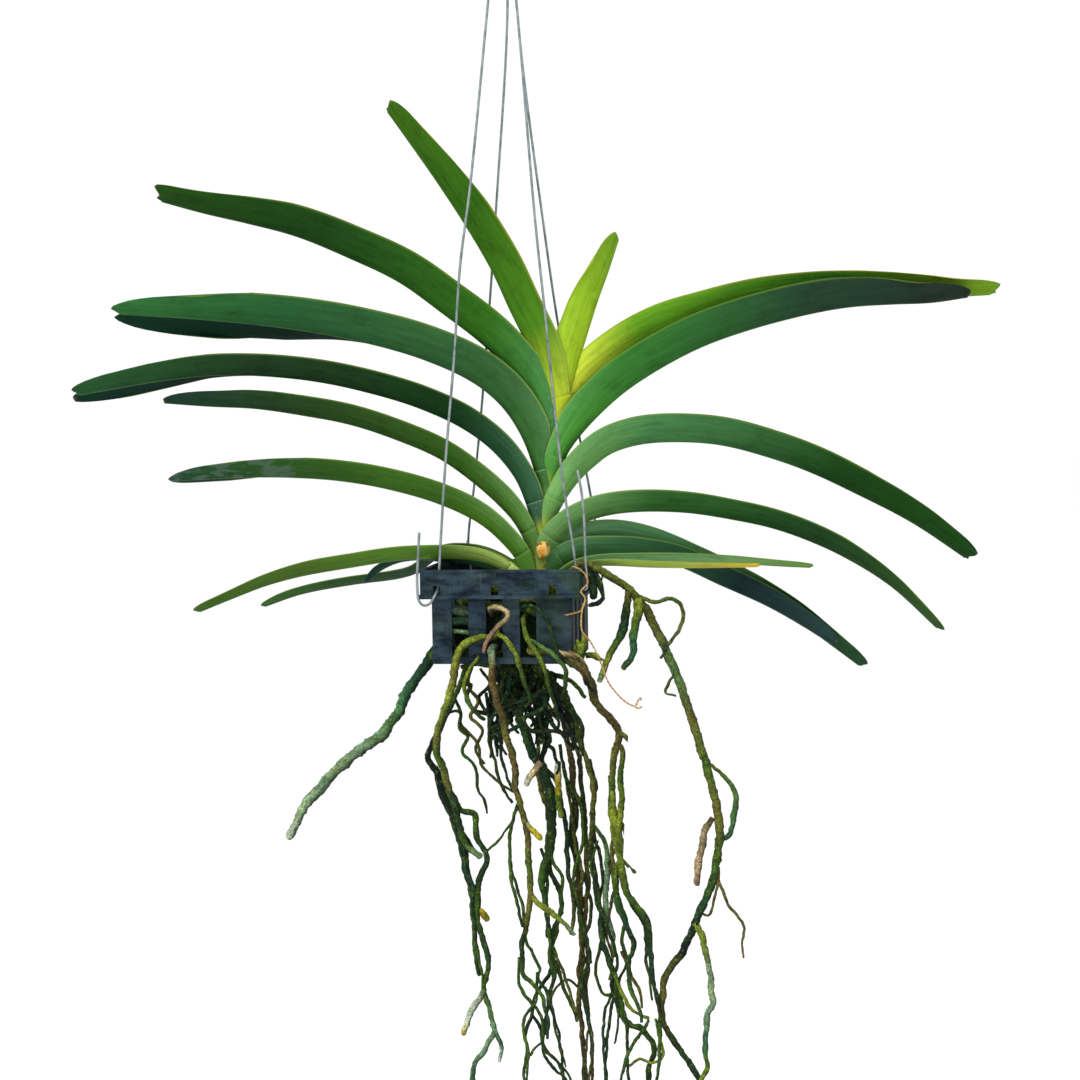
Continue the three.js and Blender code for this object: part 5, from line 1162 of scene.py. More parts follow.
roots = {
    "root_left_pale": [
        ([inBasket(-30, -slotMiddle, -42), inBasket(-38, -slotMiddle, -46), inBasket(-46, -slotMiddle, -49.6),
          (-52, 9, -60), (-58, 8.5, -68), (-66, 8, -79), (-72, 7, -93), (-83, 6, -107), (-97, 4, -117),
          (-118, 2, -137), (-129, 0, -150), (-142, -1, -172)], [3.6, 4, 4, 4.2, 4.3, 4.1, 3.8, 3.2],
         "dark deep deep teal sage mint pale mint pale white"),
    ],
    "root_left_bright": [
        ([inBasket(slotMiddle + 1, -28, -37), inBasket(slotMiddle, -44.5, -40), (-22, -47.5, -41.5),
          (-32.5, -46.5, -49), (-36, -45, -65), (-40, -40, -82), (-46, -34, -100), (-46.5, -30, -114),
          (-42, -27, -128), (-36, -25, -146), (-29, -23, -172), (-20, -22, -180)],
         [2.4, 2.8, 2.8, 2.9, 2.9, 2.3],
         "green lime bright lime olive lime bright olive green olive deep dark green pale"),
        ([(-14.6, -45.6, -40.4), (-9, -47.4, -39.8), (-3.9, -47.8, -42.6), (1.6, -47.8, -51.4),
          (5.1, -46, -63.4), (8.2, -42, -73), (10, -39, -82)], [1.8, 1.9, 1.8, 1.2],
         "bright lime bright green dark"),
        ([(-20.6, -46, -52.5), (-27.6, -44, -63.2), (-29.5, -43, -71.3), (-25.6, -41, -83.1),
          (-21.2, -40, -88.7), (-17.2, -38, -92.4)], [1.4, 1.6, 1.6, 1.3], "bright lime green dark"),
        ([(-37, -25, -141), (-33, -23, -149), (-24.5, -21, -153), (-23.6, -20, -165), (-18, -20, -176),
          (-17, -20, -184), (-21, -20, -193), (-23, -20, -206), (-22.5, -20, -221), (-17.5, -19, -237),
          (-16.2, -19, -251), (-18, -19, -262), (-15, -18, -277), (-12.5, -18, -288), (-17, -18, -299),
          (-24, -18, -308), (-26, -17, -322), (-30, -17, -341), (-29, -16, -359)],
         [2.2, 2.3, 2.3, 2.2, 2, 1.8, 1.2], "dark green deep dark green deep green sage mint teal mint mint"),
        ([(-14, -18, -284), (-10.5, -18, -292), (-8, -17.5, -300), (-9.4, -17, -309)], [1.8, 1.7, 1.3],
         "mint teal white"),
        ([(-18, -19, -262), (-21.5, -19.5, -268), (-26.8, -20.5, -277), (-32, -21.5, -291)],
         [1.8, 2.5, 2.5, 1.9], "green white white yellow"),
        ([(-18, -20, -177), (-10, -21, -170), (-4, -22, -162), (0.5, -22.5, -153)], [1, 0.9, 0.8],
         "green dark"),
        ([(-16.5, -20, -219), (-18.5, -21.5, -215.5), (-21, -22.5, -211.5)], [2.3, 2.6, 2.2],
         "yellow yellow"),
    ],
    "root_front_olive": [
        ([inBasket(slotMiddle - 1, -28, -48), inBasket(slotMiddle - 1, -44, -49), (-13, -47.5, -56),
          (-12.6, -46, -68), (-8, -42, -86), (-4, -38, -103), (0, -35, -119), (1.8, -33, -136),
          (4.8, -31, -149), (8, -30, -161), (9, -29, -180), (10, -28, -203), (7.3, -27, -222),
          (4.8, -27, -238), (6, -26, -252), (13, -25, -259), (18, -25, -267), (20.5, -24, -280),
          (20.6, -24, -293)], [2.4, 2.9, 2.6, 2.4, 2.4, 2.1, 1.7, 1.2],
         "mint frost rust brown brown olive brown brown olive brown olive green olive "
         "olive dark dark green green deep deep"),
        ([(6.5, -30.5, -155), (11.5, -32, -161), (17.5, -33, -166.5)], [1.8, 2.3, 1.9], "mint yellow yellow"),
        ([(9.8, -28, -200), (14, -29, -206), (26, -30, -215), (38, -30, -226)], [2, 2.3, 2.1, 1.5],
         "olive lime bright mint"),
        ([(3.2, -32, -143), (-1.5, -31, -158), (-2.6, -30, -176), (-1.6, -29, -192), (2, -28, -206),
          (5.5, -27.4, -222)], [1.4, 1.4, 1.3, 1.2], "dark green dark"),
        (level(-31, (16.6, -119), (11.5, -126), (6.7, -133.4)), [2.4, 2.6, 2.2], "tan cream white"),
    ],
    "root_front_dry": [
        ([inBasket(-6, -28, -32), inBasket(-7, -42, -24), (-12.6, -46.6, -21.8), (-8, -49, -22),
          (-3.4, -49.4, -26.4), (-8, -49.6, -33.4), (-12, -51, -38.4), (-15.4, -51.6, -43.4),
          (-18.2, -50.8, -50)], [1.4, 1.7, 1.9, 2.1, 1.7, 1.3], "tan cream cream tan rosy rosy"),
    ],
    "root_front_thin": [
        ([inBasket(slotRight - 2, -28, -27), inBasket(slotRight - 2.4, -44.6, -30), (6.5, -47.6, -36),
          (9.8, -50.2, -43), (14.5, -53.6, -50.5), (18.5, -54, -57), (21, -50, -69), (25, -43, -82),
          (28, -38, -92)], [1.6, 1.9, 1.7, 1.2], "green bright bright green dark"),
        ([inBasket(13.5, -28, -26), inBasket(13, -43.5, -22.8), (9, -48.4, -20.9), (16, -50, -24.3),
          (21.5, -50.8, -33), (24, -52, -42), (28.4, -55.2, -53)], [1.2, 1.4, 1.4, 1.2],
         "dark deep dark deep"),
        ([(8.8, -49.4, -41.4), (13, -51.6, -43), (19, -54.6, -47), (25.5, -55.4, -51.5), (30.5, -55.2, -57.6),
          (32, -52, -67), (30, -46, -78)], [1.2, 1.7, 1.9, 1.3], "green sage green dark"),
    ],
    "root_dark_bundle": [
        ([inBasket(slotLeft, -14, -44), inBasket(slotLeft, -14, -58), (-35, -13, -78), (-43, -14, -94),
          (-49.5, -17, -107), (-53, -18, -118), (-47, -17, -128), (-44, -16, -140), (-36, -15, -160),
          (-31, -14, -181), (-26.8, -13, -202), (-25, -12.6, -220), (-24.5, -12.6, -238),
          (-21.5, -12.6, -256)], [2, 2.1, 2.2, 2.4, 3.2, 3.4, 2.6, 2.2, 1.6],
         "dark green deep black black dark deep dark green deep"),
        ([(-46, -16.5, -131), (-40, -14, -150), (-33, -11, -165), (-26, -10, -176), (-21.5, -9.5, -181)],
         [2.4, 2.8, 2.6, 1.6], "dark deep dark"),
        ([(-37, -13, -82), (-32.5, -12, -91), (-33, -11, -99), (-23.5, -10, -109), (-21, -9, -121),
          (-16, -9, -128), (-8, -9, -136), (0, -9, -141)], [1.3, 1.3, 1.2, 1.1, 1], "dark olive dark"),
        ([(-34, -13, -74), (-27, -10, -74), (-30, -8, -82), (-24, -7, -91), (-15, -6, -93), (-12, -5, -103),
          (-11, -4, -120)], [1.7, 1.6, 1.4, 1], "green dark deep"),
        ([inBasket(slotMiddle, -20, -46), inBasket(slotMiddle, -20, -62), (-1, -17, -74), (1, -16, -84),
          (10, -15, -112), (19, -14, -130), (23, -14, -148), (21.6, -13, -177), (17, -13, -195),
          (20, -13, -212), (20.6, -12, -232)], [2.3, 2.4, 3, 3.9, 4.2, 3.6, 2.2, 1.3],
         "dark green deep dark green deep"),
        ([inBasket(slotMiddle, 2, -46), inBasket(slotMiddle, 2, -62), (-2, -2, -76), (4, -8, -95),
          (13, -11, -117), (17, -10, -140), (24, -8, -165), (22.5, -8, -190), (28.5, -8, -206),
          (27, -8, -225), (23, -8, -240), (28, -8, -256), (34, -8, -272), (40, -8, -286)],
         [2.1, 2.2, 2.3, 2, 2, 1.8, 1.2], "dark deep olive dark green dark"),
        ([(-1.5, -6, -79), (-7, -3, -90), (-9, -1, -101), (-15, 1, -112), (-12, 2, -124), (-8, 3, -139),
          (-1, 3, -150)], [1.5, 1.5, 1.4, 1.3, 1], "dark green dark"),
        ([inBasket(slotRight - 1, -14, -46), inBasket(slotRight - 1, -14, -62), (13, -14, -78),
          (16, -12, -94), (22, -12, -107), (17, -12, -121), (26, -10, -134), (30, -9, -152), (33, -8, -167),
          (33.5, -6, -190), (37, -4, -211), (36, -4, -232)], [2, 2, 1.9, 1.8, 1.8, 1.4],
         "dark green dark deep olive"),
        ([(25, -8, -248), (21, -8, -257), (13.5, -9, -268), (11, -9, -281), (7, -9, -292), (8, -9, -303),
          (6, -8, -321), (9, -8, -339)], [1.4, 1.5, 1.4, 1.3, 0.9], "deep dark green"),
        ([(11, -9, -281), (17, -8, -292), (18, -8, -305), (25, -7, -316), (33, -6, -325), (33, -6, -345)],
         [1.3, 1.3, 1.2, 1, 0.8], "dark deep dark"),
        ([inBasket(slotRight + 2, -22, -46), inBasket(slotRight + 2, -22, -62), (27, -20, -78),
          (38, -16, -96), (42, -13, -112), (48.5, -12, -134), (48.5, -10, -154), (48, -9, -177),
          (51, -9, -200), (54, -8, -220), (55, -8, -237), (62, -8, -255), (64, -8, -272), (72, -8, -288),
          (80, -7, -291), (87, -6, -302), (84, -6, -318), (86, -6, -342), (82, -5, -368)],
         [2, 2, 2, 2.1, 2.2, 2.3, 2.4, 2.4, 2.2, 2, 1.3], "dark green olive dark deep green dark deep"),
        ([(54.5, -8, -234), (52, -7, -246), (51, -6, -258), (56, -5, -269), (64, -5, -269)],
         [1.4, 1.3, 1.2, 1.2], "dark green"),
        ([(63, -8, -268), (60, -6, -280), (58, -5, -300), (57, -5, -322), (59, -5, -346)],
         [1.4, 1.3, 1.2, 0.8], "dark deep"),
        ([(62, -8, -258), (67, -10, -275), (70, -11, -292), (70, -12, -308), (72, -12, -326),
          (69, -12, -340)], [1.5, 1.5, 1.4, 1.2, 0.9], "green dark deep"),
        ([(48, -10, -160), (56, -9, -172), (58, -8, -186), (57, -7, -201), (58, -6, -220), (61.5, -6, -232),
          (62.5, -5, -246)], [1.4, 1.8, 2.3, 2.3, 2, 1.3], "green sage mint pale mint green"),
        (tangleRoot, [1.6, 2.1, 2.1, 1.9, 1.5], "dark green olive dark green"),
        ([(-9, -19, -64), (-7, -8, -63), (-6, 2, -63.4), (-3, 8, -70), (-6, 9, -82), (-2, 6, -95)],
         [1.8, 1.7, 1.4, 1], "dark green dark"),
        (level(-12, (-2.5, -182.1), (-1.2, -190.1), (2.5, -203.1), (6.2, -218.5), (7.4, -232.6),
               (11.7, -243.7), (16, -251.7), (15.1, -257.3), (20.3, -265.3), (21.8, -274.5), (25, -281.3),
               (28.3, -298.6), (32, -323.8)), [1.2, 1.3, 1.2, 0.9], "dark green deep dark"),
        (level(-20, (3, -242.3), (3, -257.4), (6.1, -265.5), (11.5, -271.8), (16.9, -279.7), (17.8, -293.2),
               (20.3, -301.2), (28.2, -310.4), (31.9, -326.9)), [1.2, 1.4, 1.2, 0.9], "green dark"),
        (level(-22, (14.2, -251.2), (13.6, -268.7), (6.8, -279.3), (6.8, -290.3), (8.7, -300.1),
               (7.4, -315.4), (6.2, -333.8)), [1.1, 1.3, 1.1, 0.8], "dark green dark"),
        (level(-21, (17.8, -294.8), (11.5, -300.3), (9.7, -304)), [1, 0.9], "dark green"),
        (level(-16, (21.4, -224.6), (23.2, -246.5), (24.6, -256.4), (21.8, -267), (21.8, -274.4),
               (19.6, -279.9), (20.3, -287), (17.8, -294)), [1.3, 1.5, 1.3, 1], "green deep dark"),
        (level(-22, (-34.1, -165.5), (-31.7, -180.8), (-30.1, -188.8), (-25.2, -198.6), (-25.7, -209.6),
               (-23.4, -221.2), (-23.4, -234.7), (-20.3, -250.6), (-19.4, -259.7)), [1.2, 1.4, 1.3, 1],
         "dark deep dark green"),
        (level(-10, (16.6, -176.2), (20, -188.6), (20, -208.3), (20.3, -222.5), (22.8, -234.8),
               (22.2, -246.5), (24, -252.7), (22.2, -268.1), (20, -279.2), (17.8, -292.8), (19.1, -301.1),
               (25.9, -310.1), (33.2, -317.2), (36.9, -330.4)), [1.3, 1.5, 1.3, 0.9], "dark green deep dark"),
        (level(-14, (22.1, -176.9), (25, -185.9), (28.9, -191.7), (29.5, -207.7), (27.1, -220),
               (23.4, -229.1), (23.4, -236), (27.1, -244), (31, -255.1), (35, -267.2), (38.1, -278.2)),
         [1.3, 1.5, 1.3, 1], "green dark olive"),
        (level(-12, (67.7, -200.6), (72, -210.3), (80, -222.2), (81.8, -236.3), (82.2, -246.2),
               (84.3, -258.5), (86.1, -271.5)), [1.2, 1.4, 1], "dark deep green"),
        (level(-14, (61.5, -252.6), (66.1, -262.1), (71.9, -275.2), (80.1, -281.2), (84.2, -282.1)),
         [1.3, 1.6, 1.2], "green lime bright"),
        (level(-8, (66.6, -241.3), (71.3, -252.2), (76.4, -263.3), (80.4, -277.2)), [1.2, 1.4, 1],
         "brown olive"),
        (level(-6, (62.9, -260.2), (60.3, -269.5), (56.1, -283.7), (55.8, -304), (57.4, -318.1),
               (56.8, -334.5)), [1.1, 1.3, 0.9], "dark deep dark"),
        (level(-12, (83.7, -283.8), (80.2, -290.6), (72, -302.7), (67, -316.8), (65.2, -332.4)),
         [1.2, 1.4, 0.9], "green deep"),
        (level(-14, (71.9, -312.3), (78, -307.4), (86, -311.1), (92.2, -305.3), (90.1, -292), (88.2, -282.1)),
         [1, 1.2, 1], "olive lime green"),
        (level(-3, (32.1, -133.7), (35.2, -152.3), (38.3, -177.1), (42.6, -195.7), (38.9, -211.2),
               (43.2, -229.8), (46.9, -245.3), (42, -263.9), (45.7, -282.5), (49.4, -301.1), (46.9, -322.8),
               (48.2, -338.3)), [1.2, 1.5, 1.3, 0.9], "dark olive dark deep brown"),
        (level(0, (37.1, -146.5), (34.6, -168.2), (39.6, -188.7), (45.8, -202.3), (48.2, -219.7),
               (42.7, -236.5), (40.2, -255.1), (44.5, -273.8), (47, -289.3), (44.5, -309.2), (47, -329.7)),
         [1.1, 1.4, 1.2, 0.9], "deep dark brown dark"),
        (level(-5, (28.4, -111.9), (32.1, -130.4), (39.5, -145.9), (43.2, -164.5), (40.7, -181.8),
               (37, -198.5), (40.7, -217.1), (45, -232.6), (48.1, -249.9)), [1.3, 1.5, 1.3, 1],
         "dark green dark"),
        (level(-4, (46.9, -121.3), (50.6, -139.8), (48.2, -158.4), (51.9, -177), (55.6, -195.6),
               (53.1, -211.1), (56.8, -229.6), (61.1, -245.1), (59.3, -260.6)), [1.3, 1.5, 1.3, 1],
         "dark deep olive"),
        (level(-10, (51.7, -171.3), (48, -187.3), (51.1, -200.9), (54.8, -216.3), (59.7, -231.7),
               (64, -247.2), (61, -262.6), (65.3, -281.1), (62.8, -299.6)), [1.1, 1.4, 1.2, 0.9],
         "green dark deep"),
        (level(-7, (62.9, -176.6), (59.8, -187.7), (62.3, -201.3), (65.4, -210.6), (69.7, -223),
               (66.6, -235.3), (70.3, -247.7), (64.8, -260.1), (67.8, -272.4)), [1.2, 1.5, 1.3, 1],
         "olive green dark"),
        (level(-16, (60.2, -144.7), (63.8, -160.1), (60.2, -175.5), (63.2, -193.9), (60.2, -209.2),
               (57.1, -224.6)), [1.3, 1.5, 1.2], "green olive dark"),
        (level(-10, (-25.9, -62.1), (-28.3, -74.4), (-22.2, -83.7), (-27.1, -93.6), (-19.7, -102.2),
               (-23.4, -113.3), (-18.5, -123.8)), [1.2, 1.4, 1], "dark olive dark"),
        (level(-8, (-21, -64.1), (-16.1, -73.9), (-22.2, -82.6), (-14.8, -91.2), (-8.7, -83.8), (-3.7, -93.7),
               (-9.9, -106.1), (-5, -118.4)), [1.2, 1.4, 1], "dark deep dark"),
        (level(-12, (-41.5, -91), (-34, -91), (-34, -101), (-28.3, -106.4), (-32, -115.6), (-24.6, -123.6),
               (-22.1, -139), (-18.4, -145.2), (-17.2, -154.4)), [1.2, 1.3, 1], "dark green dark"),
        (level(-18, (-17.2, -77.9), (-16.2, -85), (-15, -93.4), (-14, -98.9), (-10.4, -102.4), (-7.6, -108),
               (-8.6, -115.3), (-5.8, -124.4), (-4, -131.6), (-1.4, -137.1), (1.5, -140.9)), [1.2, 1.3, 1],
         "black dark"),
        (level(-18, (7.8, -92.4), (13.3, -95.2), (16, -102.4), (18.8, -107.1), (17.9, -117.1),
               (15.1, -122.6)), [1.2, 1.3, 1], "dark black"),
        (level(-17, (27.2, -120.7), (27.2, -137.1), (28.4, -147), (29, -156.2)), [2, 2.5, 2.5, 2.2],
         "white yellow green lime"),
    ],
    "root_centre_brown": [
        ([inBasket(slotRight + 2, 4, -46), inBasket(slotRight + 2, 4, -62), (22, 4, -78), (31, 3, -100),
          (36, 2, -130), (37.5, 2, -154), (38, 3, -177), (41, 4, -206), (41.8, 5, -228), (42, 5, -250),
          (40.5, 5, -277), (43.5, 6, -305), (44, 6, -332), (47, 6, -358), (45, 6, -382)],
         [2, 2.2, 2.5, 2.7, 2.5, 2.3, 2, 1.7, 1.2], "dark olive brown dark brown olive brown dark olive"),
        ([(30, 3, -98), (39, 0, -115), (42, -1, -140), (44, 0, -160), (45, 2, -184), (46, 4, -205),
          (44, 5, -226), (46, 5, -250), (45, 5, -272), (47, 6, -290), (49, 7, -310), (49, 8, -330)],
         [1.7, 1.9, 2, 2, 1.8, 1.6, 1.2], "brown dark olive brown dark brown"),
        ([(40.8, 5, -268), (33, 3, -262), (24, 3, -270), (25, 3, -290), (29, 3, -306), (32, 3, -318)],
         [1.1, 1.1, 1.1, 1, 0.8], "brown olive dark"),
    ],
    "root_right_corner": [
        ([inBasket(slotRight + 1, -28, -46.6), inBasket(slotRight + 2, -45.4, -50), (29, -51, -51.5),
          (36, -52.6, -54.5), (42.5, -51.5, -60), (46, -47.6, -69), (49, -42, -80), (58, -36, -91),
          (64, -32, -101), (62, -30, -112), (60.5, -28, -126), (60.6, -26, -142), (60, -25, -156),
          (63, -23, -168), (66, -22, -180), (68, -21, -195), (72, -20, -206), (80, -19, -216),
          (84, -18, -236), (87, -17, -262), (90, -16, -280), (90, -15, -304), (88, -15, -322)],
         [2, 2.8, 3, 2.8, 2.4, 2.7, 2.8, 2.4, 1.9, 1.6, 1.2],
         "green olive brown olive brown olive green lime bright green dark deep dark green deep"),
        ([(62, -31, -107), (66.5, -29, -112), (65, -28, -128), (66, -26, -142), (65.6, -24.5, -156),
          (70, -22.5, -168), (72, -21, -182), (75, -20, -190)], [2, 2.1, 2.2, 2.2, 1.9, 1.4],
         "olive green lime bright green"),
        ([(27.4, -52.6, -48.6), (31, -54.8, -50.2), (35.6, -55, -51.6), (39.6, -54, -55.6)], [1, 2, 1.7, 1.2],
         "cream tan brown black"),
        ([(25, -50, -50), (33, -53.6, -55), (40, -52.6, -60), (44.6, -50, -67), (48, -46, -74)],
         [1.6, 2, 2.1, 1.8, 1.4], "black dark brown black dark"),
        ([(33, -50, -49), (39.6, -50.4, -53), (44.6, -48.6, -60.6), (48, -44, -71), (50.6, -40, -79)],
         [1.4, 1.7, 1.8, 1.5], "brown tan dark brown olive"),
        ([(39, -47, -54), (39.4, -48.4, -48), (38.4, -48, -42)], [2.2, 2.4, 1.4], "green lime"),
        ([(40, -47, -54), (41.4, -49, -48), (42, -48.4, -39)], [2, 2.2, 1], "green bright lime"),
        ([(41, -47, -53), (42.6, -48.4, -47), (43.8, -48, -41)], [2, 1.8, 1], "green lime"),
        ([(38.6, -47, -52), (37.4, -49, -48.6), (37, -49, -45)], [1.8, 1.8, 1], "green bright"),
        ([(43.4, -47, -52), (47.6, -47.4, -51.6), (51, -47.4, -54), (54.4, -47, -55)], [1.8, 2.9, 2.4, 0.8],
         "green lime bright", 0.3),
        ([(59, -26, -128), (60, -26.6, -140), (62, -25.4, -156), (66, -23.6, -172), (71, -22, -186)],
         [1.6, 2.7, 3.1, 2.6, 1.5], "green lime lime bright green"),
        ([(66, -28, -128), (66, -27.6, -146), (64.4, -26.4, -160), (66, -24.4, -171)], [1.4, 2.3, 2.2, 1.4],
         "green bright lime green"),
        ([(63.4, -32.4, -100), (70, -31, -105), (74, -29, -114), (76, -27, -124), (73, -25, -136),
          (73, -24, -148), (70.5, -23, -162)], [1.8, 1.8, 1.7, 1.6, 1.3], "olive green olive dark"),
        ([(66, -22, -178), (63, -20, -192), (64, -19, -208), (69, -18, -222), (74, -17, -234),
          (70, -17, -248), (72, -17, -262), (78, -17, -276), (80, -17, -284)], [2.1, 2.3, 2.4, 2.2, 1.7, 1.2],
         "bright green deep dark green deep"),
    ],
    "root_right_long": [
        ([(28, -31, -21), (32.5, -34.5, -10), (37, -36, 0.6), (41.5, -36.5, 4.1), (48, -36, 0.9),
          (55.5, -35, -3), (63, -33, -7.6), (72, -30, -14.6), (80, -26, -25), (92, -22, -49.5),
          (101, -20, -70), (115, -19, -112), (124.5, -18, -146), (126.8, -17, -166), (124, -16, -192),
          (112.7, -15, -220), (103, -14, -243), (94.5, -13, -255), (92, -13, -268), (92.5, -12, -285),
          (100, -12, -298), (113, -11, -317), (121, -10, -338), (123, -10, -352)],
         [2, 2.7, 3.2, 3.4, 3.3, 3.2, 3.1, 3, 2.9, 2.5, 2.3, 1.8],
         "dark olive bright olive sage olive green olive green deep black olive dark deep dark"),
        ([(74, -29, -17), (81, -29, -19.4), (89, -29, -21.5), (95.5, -28, -18.8), (100, -27, -20.5),
          (103.2, -26, -27), (100.6, -26, -40), (93.5, -26.6, -48), (89.5, -27, -56)],
         [1.7, 1.6, 1.5, 1.4, 1.4, 1], "olive green olive deep"),
        ([(70, -30, -12), (69.5, -30.5, -22), (67, -31, -35), (59.4, -31, -52), (51.4, -31, -70)],
         [2.6, 3.3, 3.1, 2.4, 1.9], "olive dark deep green lime pale"),
        ([(76, -28.4, -19), (75.4, -31, -27), (73, -32, -40), (72.4, -32, -53), (66.4, -32, -62.5)],
         [3.6, 3.5, 3.1, 2.6, 2.4], "lime bright green teal teal green"),
        ([(40, -37, 2), (46, -37, -4), (48, -37, -12), (48.6, -37, -19)], [2.2, 3.4, 3.4, 2.6],
         "dark black deep black"),
        ([(45, -36, 0), (50.6, -35.6, -7), (53.4, -35, -14), (54.6, -35, -18)], [1.8, 2.7, 2.4, 1.3],
         "black dark black"),
        ([(55, -35, -17.6), (51, -36, -21), (45, -37.4, -22)], [1.3, 2.1, 1.6], "deep black dark"),
        ([(99, -20, -66), (95.5, -19, -71), (93, -18.5, -79), (100, -18, -80)], [1.2, 1.1, 1, 0.8],
         "olive green"),
        ([(114.8, -18.5, -118.5), (125.7, -17, -126), (135.7, -15.5, -137.1), (137.3, -15, -144.4),
          (135.7, -14, -157), (132.8, -14, -167), (129.3, -14, -169.7)], [0.9, 1.5, 2.1, 2.3, 1.9],
         "olive green sage teal"),
        ([(122.6, -17, -155.8), (118.9, -17, -162.6), (115.8, -16.5, -175.6), (114.3, -16, -188),
          (112.7, -16, -198.6)], [2, 2.8, 2.8, 2.2], "brown tan tan rosy"),
        ([(126.4, -16.4, -186.8), (127, -15.6, -194.9), (131.9, -15, -209.2), (138.5, -14.5, -217.6),
          (142.2, -14, -225.9), (141.2, -14, -234.6), (142.5, -14, -244.4)], [1.2, 1.2, 1.1, 0.8],
         "brown olive brown"),
        ([(125.7, -15.8, -188), (125.7, -15, -200.5), (123, -14, -210.4), (120.2, -13.5, -217.6),
          (116.4, -13, -216.9)], [1, 1.1, 1], "olive brown"),
        ([(111.5, -15.4, -221.6), (115.8, -15.6, -229), (118.9, -16, -241.5), (121.4, -16, -255.8),
          (122.6, -16, -263.8), (123.7, -16, -272.5), (120.8, -16, -278.1), (118.8, -16, -292.4),
          (118.8, -16, -303.6), (120.2, -16, -312), (115.8, -16, -320.3), (116.6, -16, -338)],
         [2.6, 2.3, 2.6, 2.4, 2.1, 1.9, 1.3], "lime bright pale pale mint teal green lime olive"),
    ],
}

rootShape = {"sides": 10, "step": 1.6, "wander": 1.3, "knobs": 0.26, "slim": 0.84}

# The tangle's strands start on tangleRoot, on so many spans from the start. They turn across, in depth and up
# at each step, and may not go past its left, right, front and back.
tangle = {
    "strands": 46, "sides": 8, "step": 2.0, "seed": 23, "start": 3, "spans": 3.99,
    "across": 5, "deep": 3, "fall": -5, "up": (-3, 2.4), "stepLength": (6, 9), "steps": (5, 11),
    "left": -15, "right": 42, "front": -30, "back": 8,
    "foot": (2.2, 3.8), "radii": [2.2, 1.6, 1.0],
    "tones": ["black", "dark", "black", "deep", "black", "dark"],
}

rootColours = {
    "black": (24, 31, 31), "dark": (38, 58, 30), "deep": (36, 68, 46), "green": (72, 108, 36),
    "teal": (62, 112, 78), "sage": (92, 134, 76), "bright": (116, 136, 46), "lime": (148, 160, 52),
    "olive": (116, 112, 50), "brown": (106, 88, 52), "rust": (122, 84, 48), "mint": (132, 166, 130),
    "pale": (146, 174, 126), "white": (198, 212, 188), "yellow": (206, 184, 40), "tan": (182, 160, 120),
    "cream": (228, 202, 150), "rosy": (166, 128, 104), "stone": (88, 106, 88), "frost": (176, 214, 166),
}

# Colours laid over the roots: grime, moss with a painted highlight on the lit side, and a painted shadow on
# the far side
rootBark = {"grime": ((34, 42, 28), 0.5), "moss": ((112, 138, 40), 1.0), "shadow": ((14, 24, 24), 0.7)}

rootNoises = {
    "patches": (120.0, 5.0, 0.62), "flecks": (420.0, 4.0, 0.7), "pits": (900.0, 3.0, 0.65),
    "moss": (260.0, 4.0, 0.7),
}


def rootFinish():
    finish = Finish("root_skin", Specular_IOR_Level=0.08)
    patches, flecks, pits, moss = finish.speckles(finish.place(), rootNoises)
    patches = finish.between(patches, 0.38, 0.6)
    flecks = finish.between(flecks, 0.4, 0.62)
    pits = finish.between(pits, 0.42, 0.58)
    # painted light and shade: the side of a root that faces the light is lighter and the far side gets a
    # painted shadow
    litSide = finish.between(finish.drawn("lit"), -0.55, 0.7)
    colour = finish.layered(finish.drawn("tone", "Color"), rootBark, {
        "grime": 1 - patches,
        # moss patches, painted stronger on the side that faces the light as a painted highlight
        "moss": finish.between(moss, 0.54, 0.66) * (0.2 + 0.35 * litSide),
        "shadow": 1 - litSide,
    })
    # flecks and pits, with painted light on the lit side and painted shade on the far side
    colour = finish.shade(colour, (0.42 + 0.36 * flecks + 0.52 * pits) * (0.66 + 0.84 * litSide))
    height = pits + flecks + patches * 0.8
    return finish.done(Base_Color=colour, Roughness=0.55 + 0.3 * moss,
                       Normal=finish.bump(height, 0.0008, 0.8))


def tangleStrands():
    # thin curly roots that fill the bundle under the basket's floor
    random.seed(tangle["seed"])
    across, deep = tangle["across"], tangle["deep"]
    strands = []
    for n in range(tangle["strands"]):
        low = tangle["start"] + int(n / (tangle["strands"] - 1) * tangle["spans"])
        point = Vector(tangleRoot[low]).lerp(Vector(tangleRoot[low + 1]), random.random())
        points = [point]
        way = Vector((random.uniform(-across, across), random.uniform(-deep, deep), tangle["fall"]))
        for _ in range(random.randint(*tangle["steps"])):
            turn = random.uniform(-across, across), random.uniform(-deep, deep), random.uniform(*tangle["up"])
            way = (way + Vector(turn)).normalized() * random.uniform(*tangle["stepLength"])
            point = point + way
            point.x = min(max(point.x, tangle["left"]), tangle["right"])
            point.y = min(max(point.y, tangle["front"]), tangle["back"])
            points.append(point)
        tones = " ".join(random.choice(tangle["tones"]) for _ in range(3))
        strands.append((points, [random.uniform(*tangle["foot"])] + tangle["radii"], tones))
    return strands


def toned(names):
    return [tint(*rootColours[name]) for name in names.split()]


def rootTube(strand, sides, step, seed):
    points, radii, tones, *flat = strand
    radii = [radius * rootShape["slim"] for radius in radii]
    shape = tube(points, radii, sides, step, rootShape["wander"], rootShape["knobs"], seed * 1.7, True, *flat)
    return shape, toned(tones)


